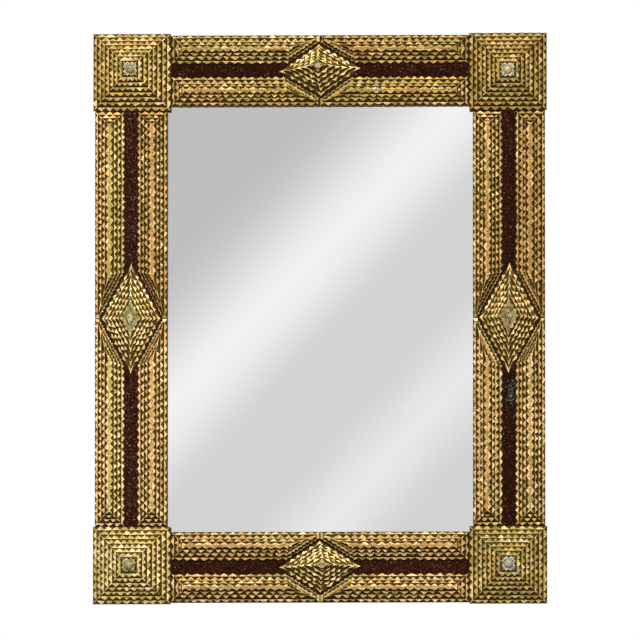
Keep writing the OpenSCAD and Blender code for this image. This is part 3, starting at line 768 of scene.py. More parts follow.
def gilding(name, colours, olive, warm, metal=0.3, rough=0.42, mottle=0.75, grey=0.0):
    """Bronze paint on carved wood: pale on the teeth, with a painted highlight along their rubbed edges, thin in
    the notches, dark where dirt and painted shade collect.
    """
    f = Finish(name)
    recess, worn, tone, shade = (f.attribute(label) for label in Stack.LABELS)
    broad, patch = f.noise(22, 4), f.noise(140, 4, 0.6)
    fine, grit = f.noise(620, 4, 0.65), f.noise(1700, 3, 0.7)
    # Gold, with pale, olive and coppery patches
    tone = f.times(tone, f.span(f.noise(75, 4, 0.6), 0.34, 0.60, 0.25, 1.0))
    light = f.plus(f.times(shade, 0.4), f.span(patch, 0.34, 0.62, -0.1, 0.9), True)
    paint = f.mix(light, colours.gold, colours.pale)
    green = f.plus(f.times(f.span(broad, 0.40, 0.62), olive), f.times(tone, -1.0), True)
    paint = f.mix(f.times(green, f.span(fine, 0.25, 0.55, 0.45, 1.0)), paint, colours.olive)
    warmth = f.plus(tone, f.times(f.span(broad, 0.60, 0.42), warm), True)
    paint = f.mix(f.times(warmth, f.span(fine, 0.28, 0.60, 0.30, 1.0)), paint, colours.orange)
    # Rubbed edges, paler: worn paint and a painted highlight along the arris; and dull spots
    paint = f.mix(f.times(worn, f.span(grit, 0.4, 0.6, 0.35, 0.95)), paint, colours.pale)
    spots = f.rough(f.noise(560, 3, 0.6), patch, 0.5)
    paint = f.mix(f.span(spots, 0.46, 0.62, 0.0, mottle), paint, dim(colours.gold, 0.28))
    if grey:
        specks = f.mix(f.span(f.noise(300, 3, 0.6), 0.485, 0.525), colours.speck, colours.bare)
        paint = f.mix(f.span(fine, 0.34, 0.52, 0.3, grey), paint, specks)
    # Thin, dull paint in the notches, darker there partly as painted shade
    uneven = f.rough(recess, fine, 0.6)
    dull = f.mix(green, colours.thin, colours.moss)
    dull = f.mix(f.times(warmth, 0.8), dull, colours.rust)
    paint = f.mix(f.span(uneven, 0.18, 0.50, 0.0, 0.95), paint, dull)
    # Dark in the hollows, along the foot of the next slat and in corners that the occlusion node finds closed
    # in: dirt and painted shade; and dirt in pits
    dirt_and_shade = f.most(f.span(uneven, 0.66, 0.98), f.span(f.crevice(0.0024), 0.15, 0.58, 1.0, 0.0))
    pits = f.times(f.span(f.cells(640), 0.30, 0.20), f.span(f.noise(170, 2, 0.5), 0.50, 0.60))
    dirt_and_shade = f.most(dirt_and_shade, f.times(pits, 0.8))
    colour = f.mix(f.times(dirt_and_shade, 0.97), paint, colours.brown)
    return f.surface(Base_Color=f.scaled(colour, f.span(shade, -1.5, 1.5, 0.55, 1.45, False)),
                     Metallic=f.span(uneven, 0.1, 0.6, metal, 0.0), Specular_IOR_Level=0.02,
                     Roughness=f.span(fine, 0.3, 0.7, rough - 0.1, rough + 0.16),
                     Normal=f.bump(f.plus(f.times(grit, 0.4), f.times(fine, 0.8)), 0.0004, 0.6))


# Along Y, where the gold spilt over the boards' edges and the dark stain of their front begin and are full
SPILT, STAINED = (-0.0135, -0.0155), (-0.0171, -0.0178)


def wood(name, light, dark, along, gold=None, front=None):
    """Old bare wood with its grain along one axis, with gold spilt over the front edges if given."""
    f = Finish(name)
    rings = f.noise(150, 3, 0.6, 1.2, f.stretch(along, 0.06))
    pores = f.noise(900, 2, 0.6, 0.0, f.stretch(along, 0.03))
    colour = f.mix(f.span(rings, 0.35, 0.65), dark, light)
    colour = f.mix(f.span(pores, 0.52, 0.70, 0.0, 0.55), colour, dim(dark, 0.45))
    colour = f.mix(f.span(f.noise(9, 4, 0.6), 0.42, 0.68, 0.0, 0.6), colour, dim(dark, 0.6))
    # Painted shade: darker in the corners that the occlusion node finds closed in
    colour = f.mix(f.span(f.crevice(0.012), 0.3, 0.9, 0.75, 0.0), colour, dim(dark, 0.25))
    if gold:
        y = f.axis("Y")
        colour = f.mix(f.span(f.rough(y, f.noise(90, 4), 0.02), *SPILT), colour, dim(gold, 0.55))
        colour = f.mix(f.span(y, *STAINED), colour, front)
    return f.surface(Base_Color=colour, Roughness=f.span(rings, 0.3, 0.7, 0.62, 0.82), Specular_IOR_Level=0.12,
                     Normal=f.bump(f.plus(f.times(rings, 0.6), pores), 0.0004, 0.5))


def metal(name, colour, dirt_and_shade, rough, spots):
    """Old metal with dull and dirty spots, and painted shade in its corners."""
    f = Finish(name)
    fine = f.noise(1400, 3, 0.6)
    share = f.span(f.rough(f.noise(180, 4, 0.6), fine, 0.5), 0.72 - spots, 0.8)
    # Painted shade: darker in the corners that the occlusion node finds closed in, in the dirt's colour, which
    # on the nails is the rust
    share = f.most(share, f.span(f.crevice(0.003), 0.25, 0.8, 0.8, 0.0))
    return f.surface(Base_Color=f.mix(share, colour, dirt_and_shade), Metallic=f.span(share, 0.1, 0.9, 1.0, 0.1),
                     Roughness=f.span(share, 0.0, 1.0, rough, 0.8), Normal=f.bump(fine, 0.0001, 0.4))


def velvet(name, colours):
    """Maroon velvet with lint, worn to its backing in one place on the right stile."""
    f = Finish(name)
    mottle, pile, lay = f.noise(420, 4, 0.7), f.noise(2600, 2, 0.7), f.noise(60, 3, 0.6)
    colour = f.mix(f.span(mottle, 0.46, 0.60), dim(colours.pile, 0.6), colours.light_pile)
    colour = f.mix(f.span(lay, 0.35, 0.65, 0.0, 0.45), colour, dim(colours.pile, 0.4))
    colour = f.scaled(colour, f.span(f.attribute("shade"), -1, 1, 0.5, 1.5, False))
    linty = f.span(f.attribute("tone"), 0, 1, 0.57, 0.43, False)
    specks = f.times(f.span(f.cells(380), 0.34, 0.14), f.span(f.noise(210, 2), linty, f.plus(linty, 0.12)))
    lint = f.mix(f.span(f.noise(300, 2), 0.45, 0.60), colours.mauve, dim(colours.lint, 0.7))
    bare = f.span(f.rough(f.attribute("worn"), f.noise(210, 4, 0.7), 1.2), 0.35, 0.60)
    threads = f.mix(f.span(mottle, 0.54, 0.64), dim(colours.backing, 0.04), dim(colours.backing, 0.8))
    return f.surface(Base_Color=f.mix(bare, f.mix(specks, colour, lint), threads), Roughness=0.9,
                     Sheen_Weight=0.08, Sheen_Roughness=0.4, Specular_IOR_Level=0.06,
                     Sheen_Tint=[min(1.0, c * 6) for c in colours.light_pile],
                     Normal=f.bump(f.plus(pile, mottle), 0.0006, 0.8))


def silver_paint(name, colours):
    """Silver paint of the stars, yellowed in patches, with dirt and painted shade in the corners."""
    f = Finish(name)
    recess, tone = f.attribute("recess"), f.attribute("tone")
    fine, patch = f.noise(900, 4, 0.65), f.noise(380, 3)
    paint = f.mix(f.span(f.plus(patch, f.times(tone, 0.15)), 0.50, 0.68), colours.silver, colours.yellowed)
    dirt_and_shade = f.most(f.span(f.rough(recess, fine, 2.0), 0.12, 0.46), f.span(f.crevice(0.002), 0.15, 0.6, 0.9, 0.0))
    return f.surface(Base_Color=f.mix(dirt_and_shade, paint, colours.star_dirt_and_shade), Metallic=0.15, Specular_IOR_Level=0.15,
                     Roughness=f.span(fine, 0.3, 0.7, 0.35, 0.6), Normal=f.bump(fine, 0.0004, 0.7))


def tack_paint(name, colours):
    """Paint of the tacks, from silver to gold, with brown specks."""
    f = Finish(name)
    brown, yellow = f.attribute("tone"), f.attribute("shade")
    blotch, speck = f.noise(520, 3, 0.6), f.noise(1100, 4, 0.65)
    golden = f.plus(yellow, f.span(blotch, 0.4, 0.6, -0.35, 0.25), True)
    paint = f.mix(golden, colours.silver, colours.tack_gold)
    share = f.plus(f.span(speck, 0.48, 0.60, 0.0, 0.8), f.times(brown, f.span(blotch, 0.48, 0.56)), True)
    return f.surface(Base_Color=f.mix(share, paint, colours.tack_brown), Metallic=0.2, Specular_IOR_Level=0.2,
                     Roughness=f.span(speck, 0.3, 0.7, 0.35, 0.6), Normal=f.bump(blotch, 0.0005, 0.6))


def silvering(name):
    """Mirror silver behind clear glass, a little hazy in places."""
    f = Finish(name)
    haze = f.noise(6, 4, 0.6)
    colour = f.mix(f.span(haze, 0.4, 0.7, 0.0, 0.5), (0.90, 0.90, 0.90), (0.88, 0.885, 0.88))
    return f.surface(Base_Color=colour, Metallic=1.0, Roughness=f.span(haze, 0.35, 0.7, 0.012, 0.02))


def ground_edge(name):
    """Greenish edge of the glass, ground dull."""
    f = Finish(name)
    return f.surface(Base_Color=f.mix(f.noise(400), (0.32, 0.42, 0.38), (0.45, 0.55, 0.50)), Roughness=0.35)


def backing_paint(name):
    """Brown paint on the back of the glass, with grey spots."""
    f = Finish(name)
    spots = f.span(f.noise(130, 5, 0.7), 0.6, 0.72)
    return f.surface(Base_Color=f.mix(spots, (0.17, 0.10, 0.075), (0.30, 0.27, 0.24)),
                     Roughness=f.span(f.noise(300), 0.3, 0.7, 0.55, 0.75),
                     Normal=f.bump(f.noise(500), 0.0002, 0.4))


def loose_yarn(name, colours):
    """Pale yarn of the lint and the loose threads."""
    f = Finish(name)
    pale = f.mix(f.span(f.noise(2200, 3), 0.4, 0.6), colours.backing, colours.lint)
    return f.surface(Base_Color=pale, Roughness=0.9, Specular_IOR_Level=0.05)


# Pieces


def settings():
    return bpy.context.scene.mirror_carving, bpy.context.scene.mirror_gilding


def ready(piece, node):
    """Sets a finished piece in the frame, in place of its CAD node."""
    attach(piece, "frame")
    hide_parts(node)


# First seeds of the random draws
RUN_SEED, BLOCK_SEED, LOZENGE_SEED, STAR_SEED, LINT_SEED, SCREW_SEED = 101, 200, 300, 400, 500, 600
# Tint of each run's slats, lowest to top, above 0 coppery and below 0 olive; how much more coppery the rows
# towards the left are; lightness, partly the paint's own and partly painted light and shade for how much light
# reaches each run
RUN_TINTS = {
    "top_outer_left": ((-0.1, 0.0, 0.0, 0.05), 0, -0.7),
    "top_outer_right": ((0.1, 0.1, 0.1, 0.15), 0, -1.1),
    "top_inner_left": ((0.0, 0.05, 0.1, 0.15), 0, -0.7),
    "top_inner_right": ((0.0, 0.0, 0.05, 0.1), 0, -0.9),
    "left_outer_upper": ((0.15, 0.1, 0.05, -0.45), 0.6, 0.18),
    "left_outer_lower": ((0.3, 0.1, -0.2, -0.3), 0.3, 0.78),
    "left_inner_upper": ((0.35, 0.0, 0.05, 0.85), 0.2, -0.47),
    "left_inner_lower": ((0.3, 0.2, 0.2, 0.45), 0.1, 0.38),
    "bottom_outer_left": ((0.05, 0.1, 0.1, 0.2), 0, -0.12),
    "bottom_outer_right": ((0.1, 0.1, 0.1, 0.2), 0, -0.07),
    "bottom_inner_left": ((0.1, 0.15, 0.2, 0.3), 0, -0.12),
    "bottom_inner_right": ((0.1, 0.1, 0.15, 0.25), 0, -0.2),
    "right_outer_upper": ((0.1, 0.2, 0.25, 0.3), 0, -0.92),
    "right_outer_lower": ((0.0, 0.05, 0.05, 0.1), 0, -0.02),
    "right_inner_upper": ((0.1, 0.1, 0.1, 0.15), 0, -0.52),
    "right_inner_lower": ((-0.1, 0.05, 0.05, 0.3), 0, -0.07),
}
# Tint and lightness of each corner block and lozenge, the lightness partly the paint's own and partly painted
# light and shade for how much light reaches each one
BLOCK_TINTS = {"top_left": (-0.1, -0.5), "bottom_left": (-0.4, 0.5), "bottom_right": (-0.3, -0.4),
               "top_right": (0.0, -1.2)}
LOZENGE_TINTS = {"top": (-0.1, 0.0), "left": (-0.05, 0.8), "bottom": (-0.15, 1.1), "right": (-0.05, 0.15)}
# Share of the full pitch at which each slat is notched: the small top slats have small teeth
LOZENGE_PITCHES = (1.0, 0.97, 0.92, 0.86, 0.80, 0.72)
BLOCK_PITCHES = (1.04, 0.98, 0.94, 0.87, 0.80, 0.74, 0.68)
# Extra darkening in the notches, most in those that face up: dust and painted shade
RUN_DUST_AND_SHADE, LOZENGE_DUST_AND_SHADE = 0.22, 0.1
# Dirt and painted shade around the foot of a block's star, how far the slats of a stack slid on the glue and how
# far they turned
STAR_RING, BLOCK_SLIP, LOZENGE_SLIP, LOZENGE_TURN = 0.76, 0.0003, 0.0006, 0.6
# The seams of a lozenge are narrower, its lowest slat has blunter tips and its top one is more olive and darker
LOZENGE_SEAM, BLUNT_TIP, TOP_TONE, TOP_DARKER = 0.9, 1.9, -0.3, 0.8
# The cap is a little smaller than its solid, and its edges are rubbed this wide
CAP_SHARE, CAP_WORN = 0.98, 0.00045


class MIRROR_OT_runs(bpy.types.Operator):
    """Carves the sixteen notched runs along the rails and stiles"""
    bl_idname = "mirror.runs"
    bl_label = "Notched runs"

    def execute(self, context):
        sizes, colours = settings()
        finish = gilding("run_gold_paint", colours, olive=0.45, warm=0.25)
        seed = RUN_SEED
        for side in SIDES:
            pitch, tilt = pick(side, sizes.rail_pitch, sizes.stile_pitch), getattr(sizes, side + "_tilt")
            for row, sy in (("outer", 1), ("inner", -1)):
                for half, sx in zip(HALVES[side], (-1, 1) if side in ("top", "left") else (1, -1)):
                    name, way = f"{side}_{row}_{half}", Vector((sx, sy))
                    tones, lean, shade = RUN_TINTS[name]
                    knife, stack = Knife(sizes, seed, pitch, 0.0, shade, RUN_DUST_AND_SHADE), Stack()
                    knife.lean = lean
                    for k in range(sizes.run_layers):
                        plain, normal = run_outline(side, tilt * sx * sy, sizes, k)
                        flat = to_side(side, [p * way for p in plain])
                        bare = turned(normal * way, SIDES.index(side) * math.pi / 2)
                        step = sizes.run_step if k < sizes.run_layers - 1 else None
                        knife.tone = tones[k]
                        carve_slat(stack, flat, FACE + k * sizes.rise, sizes.slat, run_notch(side, sizes, k),
                                   knife, bare, step, sizes.end_step)
                    ready(stack.build(name + "_run_carved", [finish]), name + "_run")
                    seed += 1
        return {"FINISHED"}


class MIRROR_OT_corner_blocks(bpy.types.Operator):
    """Carves the four stepped corner blocks"""
    bl_idname = "mirror.corner_blocks"
    bl_label = "Corner blocks"

    def execute(self, context):
        sizes, colours = settings()
        finish = gilding("block_gold_paint", colours, olive=0.5, warm=0.05)
        last = sizes.block_layers - 1
        for number, corner in enumerate(CORNERS):
            name = corner + "_corner_block"
            middle = middle_of(name)
            drift = middle_of(corner + "_star") - middle
            knife, stack = Knife(sizes, BLOCK_SEED + number, sizes.block_pitch, *BLOCK_TINTS[corner]), Stack()
            for k in range(sizes.block_layers):
                slip = knife.nudge(BLOCK_SLIP if 0 < k < last else 0.0)
                wide, step = BLOCK_W - 2 * k * sizes.block_step, sizes.block_step
                if k == last:
                    step, knife.ring = step + sizes.gap / 2, STAR_RING
                knife.pitch = sizes.block_pitch * BLOCK_PITCHES[k]
                flat = shifted(box_outline(wide, wide), middle + drift * k / last + slip)
                carve_slat(stack, flat, FACE + k * sizes.rise, sizes.slat,
                           sizes.block_depth * BLOCK_PITCHES[k] ** 0.5, knife, step=step)
            ready(stack.build(name + "_carved", [finish]), name)
        return {"FINISHED"}


class MIRROR_OT_lozenges(bpy.types.Operator):
    """Carves the four stepped lozenges and the plain lozenges on top of them"""
    bl_idname = "mirror.lozenges"
    bl_label = "Lozenges"

    def execute(self, context):
        sizes, colours = settings()
        finish = gilding("lozenge_gold_paint", colours, olive=0.5, warm=0.1)
        rubbed = dict(warm=0.0, metal=0.2, rough=0.5)
        greenish = gilding("worn_gold_paint", colours, olive=0.6, mottle=0.85, grey=0.5, **rubbed)
        dull = gilding("cap_gold_paint", colours, olive=0.5, mottle=0.8, grey=0.7, **rubbed)
        last = sizes.lozenge_layers - 1
        for number, side in enumerate(SIDES):
            name, tilt, half = side + "_lozenge", getattr(sizes, side + "_tilt"), lozenge_half(side)
            pitch = pick(side, sizes.rail_pitch, sizes.stile_pitch)
            drift = middle_of(name + "_cap") - middle_of(name)
            knife = Knife(sizes, LOZENGE_SEED + number, pitch, *LOZENGE_TINTS[side], LOZENGE_DUST_AND_SHADE)
            knife.seam, stack = sizes.seam * LOZENGE_SEAM, Stack()
            for k in range(sizes.lozenge_layers):
                loose = 0 < k < last
                slip = knife.nudge(LOZENGE_SLIP if loose else 0.0)
                lean = tilt + (math.radians(knife.spread(0.5)) * LOZENGE_TURN if loose else 0.0)
                plain = inset(lozenge_outline(half), k * sizes.lozenge_step)
                flat = to_side(side, [turned(p, lean) for p in plain])
                if k == last:
                    knife.tone, knife.shade = TOP_TONE, knife.shade - TOP_DARKER
                knife.pitch = pitch * LOZENGE_PITCHES[k]
                knife.tip_half = sizes.lozenge_tip * (1.0 if k else BLUNT_TIP)
                carve_slat(stack, shifted(flat, drift * k / last + slip), FACE + k * sizes.rise, sizes.slat,
                           sizes.lozenge_depth * LOZENGE_PITCHES[k] ** 0.5, knife,
                           step=sizes.lozenge_step if k < last else None, kind=int(k == last))
            ready(stack.build(name + "_carved", [finish, greenish]), name)
            low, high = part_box(name + "_cap")
            short = min(high.x - low.x, high.z - low.z) / math.cos(tilt) * CAP_SHARE
            top = to_side(side, [turned(p, tilt) for p in lozenge_outline(half * (short / (2 * half.y)))])
            stack = Stack()
            plain_slat(stack, shifted(top, drift), CAP_SEAT, high.y - low.y, CAP_WORN, knife)
            ready(stack.build(name + "_cap_shaped", [dull]), name + "_cap")
        return {"FINISHED"}


# Width, height and turn of each star, which were cut by eye, and how yellow its paint is
STAR_SHAPES = {"top_left": (0.0156, 0.0160, 1.0, 0.2), "bottom_left": (0.0162, 0.0160, -1.0, 0.9),
               "bottom_right": (0.0158, 0.0164, 0.5, -0.5), "top_right": (0.0162, 0.0158, 1.0, 0.3)}
STAR_NOTCH = 0.0023
# Tint of each tack's paint, from 0 silver to 1 gold, and how brown it is
TACK_TINTS = {"top_left": (1.0, 0.9), "bottom_left": (1.0, 0.3), "bottom_right": (0.05, 0.2),
              "top_right": (0.75, 0.0)}
# Radius and length of a tack's shank, height of its rim and points around it
SHANK_R, SHANK_LONG, TACK_RIM, TACK_TURNS = 0.0012, 0.0118, 0.0003, 40
# The domed head in degrees from its middle, and the depth and reach of the hammer's dents
DOME, DENT, DENT_REACH = (80, 68, 56, 44, 32, 20, 9), 0.00022, 0.0012


class MIRROR_OT_stars(bpy.types.Operator):
    """Cuts the four star-shaped squares and sets a domed tack in each"""
    bl_idname = "mirror.stars"
    bl_label = "Stars and tacks"

    def execute(self, context):
        sizes, colours = settings()
        silver, head = silver_paint("star_silver_paint", colours), tack_paint("tack_gold_paint", colours)
        for number, corner in enumerate(CORNERS):
            low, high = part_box(corner + "_star")
            middle, (width, height, turn, yellow) = middle_of(corner + "_star"), STAR_SHAPES[corner]
            knife, stack = Knife(sizes, STAR_SEED + number, width / 3, yellow), Stack()
            square = [middle + turned(p, math.radians(turn)) for p in box_outline(width, height)]
            carve_slat(stack, square, -high.y, high.y - low.y, STAR_NOTCH, knife)
            ready(stack.build(corner + "_star_cut", [silver]), corner + "_star")
            ready(tack(corner, middle, knife.rng, head), corner + "_tack")
        return {"FINISHED"}


def circle(radius, turns):
    """Points around a circle."""
    angles = [2 * math.pi * k / turns for k in range(turns)]
    return [Vector((math.cos(t), math.sin(t))) * radius for t in angles]


def tack(corner, middle, rng, finish):
    """A domed tack head on its shank, with a rim a little uneven from the hammer."""
    low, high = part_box(corner + "_tack")
    seat, top = -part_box(corner + "_star")[0].y, -low.y
    r, rise = (high.x - low.x) / 2, top - seat
    profile = [(SHANK_R, seat - SHANK_LONG), (SHANK_R, seat - 0.0001), (r * 0.93, seat + 0.00002),
               (r, seat + 0.00025)]
    profile += [(r * math.sin(a), seat + TACK_RIM + (rise - TACK_RIM) * math.cos(a))
                for a in map(math.radians, DOME)]
    stack, rings = Stack(), []
    dents = [Vector((rng.uniform(-0.6, 0.6) * r, rng.uniform(-0.6, 0.6) * r)) for _ in range(3)]
    for radius, depth in profile:
        flats = circle(radius, TACK_TURNS)
        domed = depth > seat + 0.0005
        drop = [sum(DENT * math.exp(-((p - d).length / DENT_REACH) ** 2) for d in dents) if domed else 0
                for p in flats]
        rings.append(stack.ring([middle + p for p in flats], [depth - d for d in drop]))
    yellow, brown = TACK_TINTS[corner]
    tint = dict(tone=brown, shade=yellow)
    tip, root = stack.point(middle, top - 0.00002), stack.point(middle, profile[0][1])
    stack.sleeve(rings, **tint)
    for i, j in around(TACK_TURNS):
        stack.face((rings[-1][i], rings[-1][j], tip), **tint)
        stack.face((rings[0][j], rings[0][i], root), **tint)
    return stack.build(corner + "_tack_domed", [finish], smooth=True)


# Lightness of each velvet strip and how much lint lies on it
STRIP_TINTS = {"top": (-0.15, 0.1), "left": (0.5, 1.0), "bottom": (0.6, 0.2), "right": (-0.15, 0.25)}
# Rows of points across a strip, as shares of its half width, and their spacing along it
STRIP_ACROSS, STRIP_SPACING = (-1, -0.94, -0.8, -0.55, -0.28, 0, 0.28, 0.55, 0.8, 0.94, 1), 0.0022
# How much lower a strip lies along its edges, from what share of its half width on, and at its ends
EDGE_DROP, EDGE_FROM, END_DROP = 0.0005, 0.7, 0.0004
# The worn spot below the right lozenge: its middle, its half width and height and how much lower it lies
WORN_AT, WORN_REACH, WORN_LOW = (0.2135, -0.0855), (0.0115, 0.024), 0.0006
# Middle, spread and number of the loose threads in it
LOOSE_AT, LOOSE_SPREAD, LOOSE = (0.2135, -0.0865), (0.0024, 0.0085), 30
# Length of a bit of lint and of a loose thread, and the half width of both
LINT_LONG, LOOSE_LONG, THREAD_WIDE = (0.0004, 0.0016), (0.002, 0.006), (0.00010, 0.00026)
# How many bits lie on a clean strip, and how many more on a linty one
BITS, MORE_BITS = 20, 60
# How far the velvet lies behind the front of its strip, and how far the pile rises and falls
PILE_BACK, PILE_WAVE, PILE_MOST, PILE_SCALE = 0.0002, 0.00016, 0.00018, 230


class MIRROR_OT_channels(bpy.types.Operator):
    """Lays the velvet strips in the channels"""
    bl_idname = "mirror.channels"
    bl_label = "Velvet channels"

    def execute(self, context):
        sizes, _ = settings()
        colours = context.scene.mirror_velvet
        finishes = [velvet("maroon_velvet", colours), loose_yarn("pale_thread", colours)]
        for side in SIDES:
            name = side + "_channel_strip"
            low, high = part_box(name)
            stack, tilt = Stack(), getattr(sizes, side + "_tilt")
            for sx in (1, -1):
                strip(stack, side, sx, strip_outline(side, tilt * sx, sizes.gap), -high.y, -low.y)
            threads(stack, side, middle_of(name), -low.y)
            ready(stack.build(side + "_channel_velvet", finishes), name)
        return {"FINISHED"}


def strip(stack, side, sx, outline, low, high):
    """One velvet strip: rounded along its edges, with a pile that lies unevenly."""
    tip, lower, lower_end, _, upper = outline
    half, end = lower_end.y * -1, lower_end.x
    rows, last = round((end - tip.x) / STRIP_SPACING), len(STRIP_ACROSS) - 1
    tops, feet, gone = [], [], []
    for k in range(rows + 1):
        places, depths = [], []
        for v in STRIP_ACROSS:
            start = tip.x + (lower.x - tip.x) * -v if v < 0 else tip.x + (upper.x - tip.x) * v
            place = to_side(side, [((start + (end - start) * k / rows) * sx, v * half)])[0]
            edge = EDGE_DROP * max(0, abs(v) - EDGE_FROM) / 0.3 + (0 if 0 < k < rows else END_DROP)
            places.append(place)
            depths.append(high - pile_low(place) - edge)
        tops.append(stack.ring(places, depths))
        feet.append([stack.point(p, low) if k in (0, rows) or i in (0, last) else None
                     for i, p in enumerate(places)])
        gone.append([worn_spot(p) for p in places])
    shade, linty = STRIP_TINTS[side]
    stack.cushion(tops, feet, sx < 0, lambda k, i: sum((gone[k][i], gone[k + 1][i], gone[k + 1][i + 1],
                                                        gone[k][i + 1])) / 4, tone=linty, shade=shade)


def worn_spot(place):
    """How far the pile is gone at a place."""
    away = Vector([(p - at) / reach for p, at, reach in zip(place, WORN_AT, WORN_REACH)])
    return max(0.0, 1 - away.length) ** 0.5 if away.length < 1 else 0.0


def pile_low(place):
    """How far the velvet's surface lies behind the front of its strip."""
    lay = noise.noise(Vector((place.x, place.y, 0)) * PILE_SCALE) * PILE_WAVE
    return PILE_BACK - min(PILE_MOST, lay) + worn_spot(place) * WORN_LOW


def threads(stack, side, middle, front):
    """Bits of lint on the velvet, and loose threads of its backing where the pile is gone."""
    rng, (_, linty) = random.Random(LINT_SEED + SIDES.index(side)), STRIP_TINTS[side]
    along = Vector(pick(side, (1, 0), (0, 1)))
    across = inward(along)
    start, reach, half = lozenge_half(side).x + 0.004, half_length(side) - 0.004, CHANNEL_W / 2 - 0.0022
    bits = [(rng.uniform(*LINT_LONG), middle + along * rng.choice((-1, 1)) * rng.uniform(start, reach)
             + across * rng.uniform(-half, half)) for _ in range(round(BITS + MORE_BITS * linty))]
    if side == "right":
        bits += [(rng.uniform(*LOOSE_LONG), Vector([rng.gauss(*v) for v in zip(LOOSE_AT, LOOSE_SPREAD)]))
                 for _ in range(LOOSE)]
    for long, place in bits:
        if abs(across.dot(place - middle)) > half:
            continue
        way, wide, path = turned((1, 0), rng.uniform(0, 2 * math.pi)), rng.uniform(*THREAD_WIDE), []
        for _ in range(5):
            off = max(-half, min(half, across.dot(place - middle)))
            flat = place + across * (off - across.dot(place - middle))
            path.append((flat, front - pile_low(flat) - 0.00003))
            way = turned(way, rng.uniform(-0.5, 0.5))
            place = place + way * long / 4
        thread(stack, path, wide)


def thread(stack, path, wide):
    """One thread: a closed three-sided tube along a path."""
    rings, last = [], len(path) - 1
    for i, (flat, depth) in enumerate(path):
        side = inward((path[min(last, i + 1)][0] - path[max(0, i - 1)][0]).normalized()) * wide
        rings.append(stack.ring((flat - side, flat + side, flat), (depth, depth, depth + wide)))
    stack.sleeve(rings, kind=1)
    stack.face(rings[0][::-1], kind=1)
    stack.face(rings[-1], kind=1)


# Width of the ground edges of the glass
GROUND = 0.0009


class MIRROR_OT_glass(bpy.types.Operator):
    """Sets the silvered glass with its ground edges"""
    bl_idname = "mirror.glass"
    bl_label = "Mirror glass"

    def execute(self, context):
        low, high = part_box("mirror_glass")
        outline, stack = box_outline(2 * high.x, 2 * high.z), Stack()
        profile = (GROUND, -high.y), (0, -high.y + GROUND), (0, -low.y - GROUND), (GROUND, -low.y)
        rings = [stack.ring(inset(outline, by) if by else outline, [depth] * 4) for by, depth in profile]
        stack.sleeve(rings, kind=1)
        stack.face(rings[-1], kind=0)
        stack.face(rings[0][::-1], kind=2)
        finishes = [silvering("silvered_glass"), ground_edge("ground_glass_edge"),
                    backing_paint("mirror_backing_paint")]
        ready(stack.build("mirror_glass_silvered", finishes), "mirror_glass")
        return {"FINISHED"}


def dress_node(name, finish, width=0.0004):
    """Gives a solid its finish and breaks its sharp edges."""
    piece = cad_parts[name]
    piece.data.materials.clear()
    piece.data.materials.append(finish)
    if width:
        bevel = piece.modifiers.new("broken_edges", "BEVEL")
        bevel.width, bevel.segments, bevel.limit_method = width, 2, "ANGLE"
        bevel.angle_limit = math.radians(40)
        bevel.harden_normals = False


class MIRROR_OT_boards(bpy.types.Operator):
    """Finishes the frame boards, the back board and the nails"""
    bl_idname = "mirror.boards"
    bl_label = "Boards and nails"

    def execute(self, context):
        colours, gold = context.scene.mirror_back, context.scene.mirror_gilding.gold
        for grain, boards in (("X", ("top_rail", "bottom_rail")), ("Z", ("left_stile", "right_stile"))):
            finish = wood(boards[0].split("_")[1] + "_wood", colours.board_light, colours.board_dark, grain,
                          gold, colours.board_front)
            for name in boards:
                dress_node(name, finish)
        dress_node("back_board", wood("back_board_wood", colours.back_light, colours.back_dark, "Z"), 0.0003)
        iron = metal("nail_iron", colours.iron, colours.rust, rough=0.5, spots=0.25)
        for name in ("lap_nails", "back_nails"):
            dress_node(name, iron, 0.0001)
        return {"FINISHED"}


class MIRROR_OT_hangers(bpy.types.Operator):
    """Finishes the two strap hangers with their rings and screws"""
    bl_idname = "mirror.hangers"
    bl_label = "Hangers"

    def execute(self, context):
        colours = context.scene.mirror_back
        brass = metal("hanger_brass", colours.brass, colours.brass_dirt_and_shade, rough=0.32, spots=0.2)
        steel = metal("screw_steel", colours.steel, colours.steel_dirt_and_shade, rough=0.38, spots=0.2)
        low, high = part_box("hanger_screws")
        stack, rng = Stack(), random.Random(SCREW_SEED)
        for side in ("left", "right"):
            dress_node(side + "_strap_hanger", brass, 0.00015)
            dress_node(side + "_hang_ring", brass, 0)
            x = middle_of(side + "_strap_hanger").x
            for z in (high.z - SCREW_HEAD.x / 2, low.z + SCREW_HEAD.x / 2):
                screw(stack, Vector((x, z)), -high.y, -low.y, rng.uniform(0, math.pi))
        ready(stack.build("hanger_screws_slotted", [steel]), "hanger_screws")
        return {"FINISHED"}


# Width and height of a screw's head, the share of its height that is upright, and half its slot as a share of
# its radius
SCREW_HEAD, UPRIGHT, SLOT = Vector((0.0056, 0.0014)), 0.4, 0.13
# Rows of points over the head, across the slot and along it, as shares of its radius; a row given twice is a
# step
HEAD_ACROSS = (-0.98, -0.88, -0.66, -0.4, -SLOT, -SLOT, SLOT, SLOT, 0.4, 0.66, 0.88, 0.98)
HEAD_ALONG = (-1, -0.93, -0.75, -0.4, 0, 0.4, 0.75, 0.93, 1)
SLOT_FLOOR = (5, 6)   # the two rows across that lie in the slot
SCREW_TURNS = 12      # points around the shank


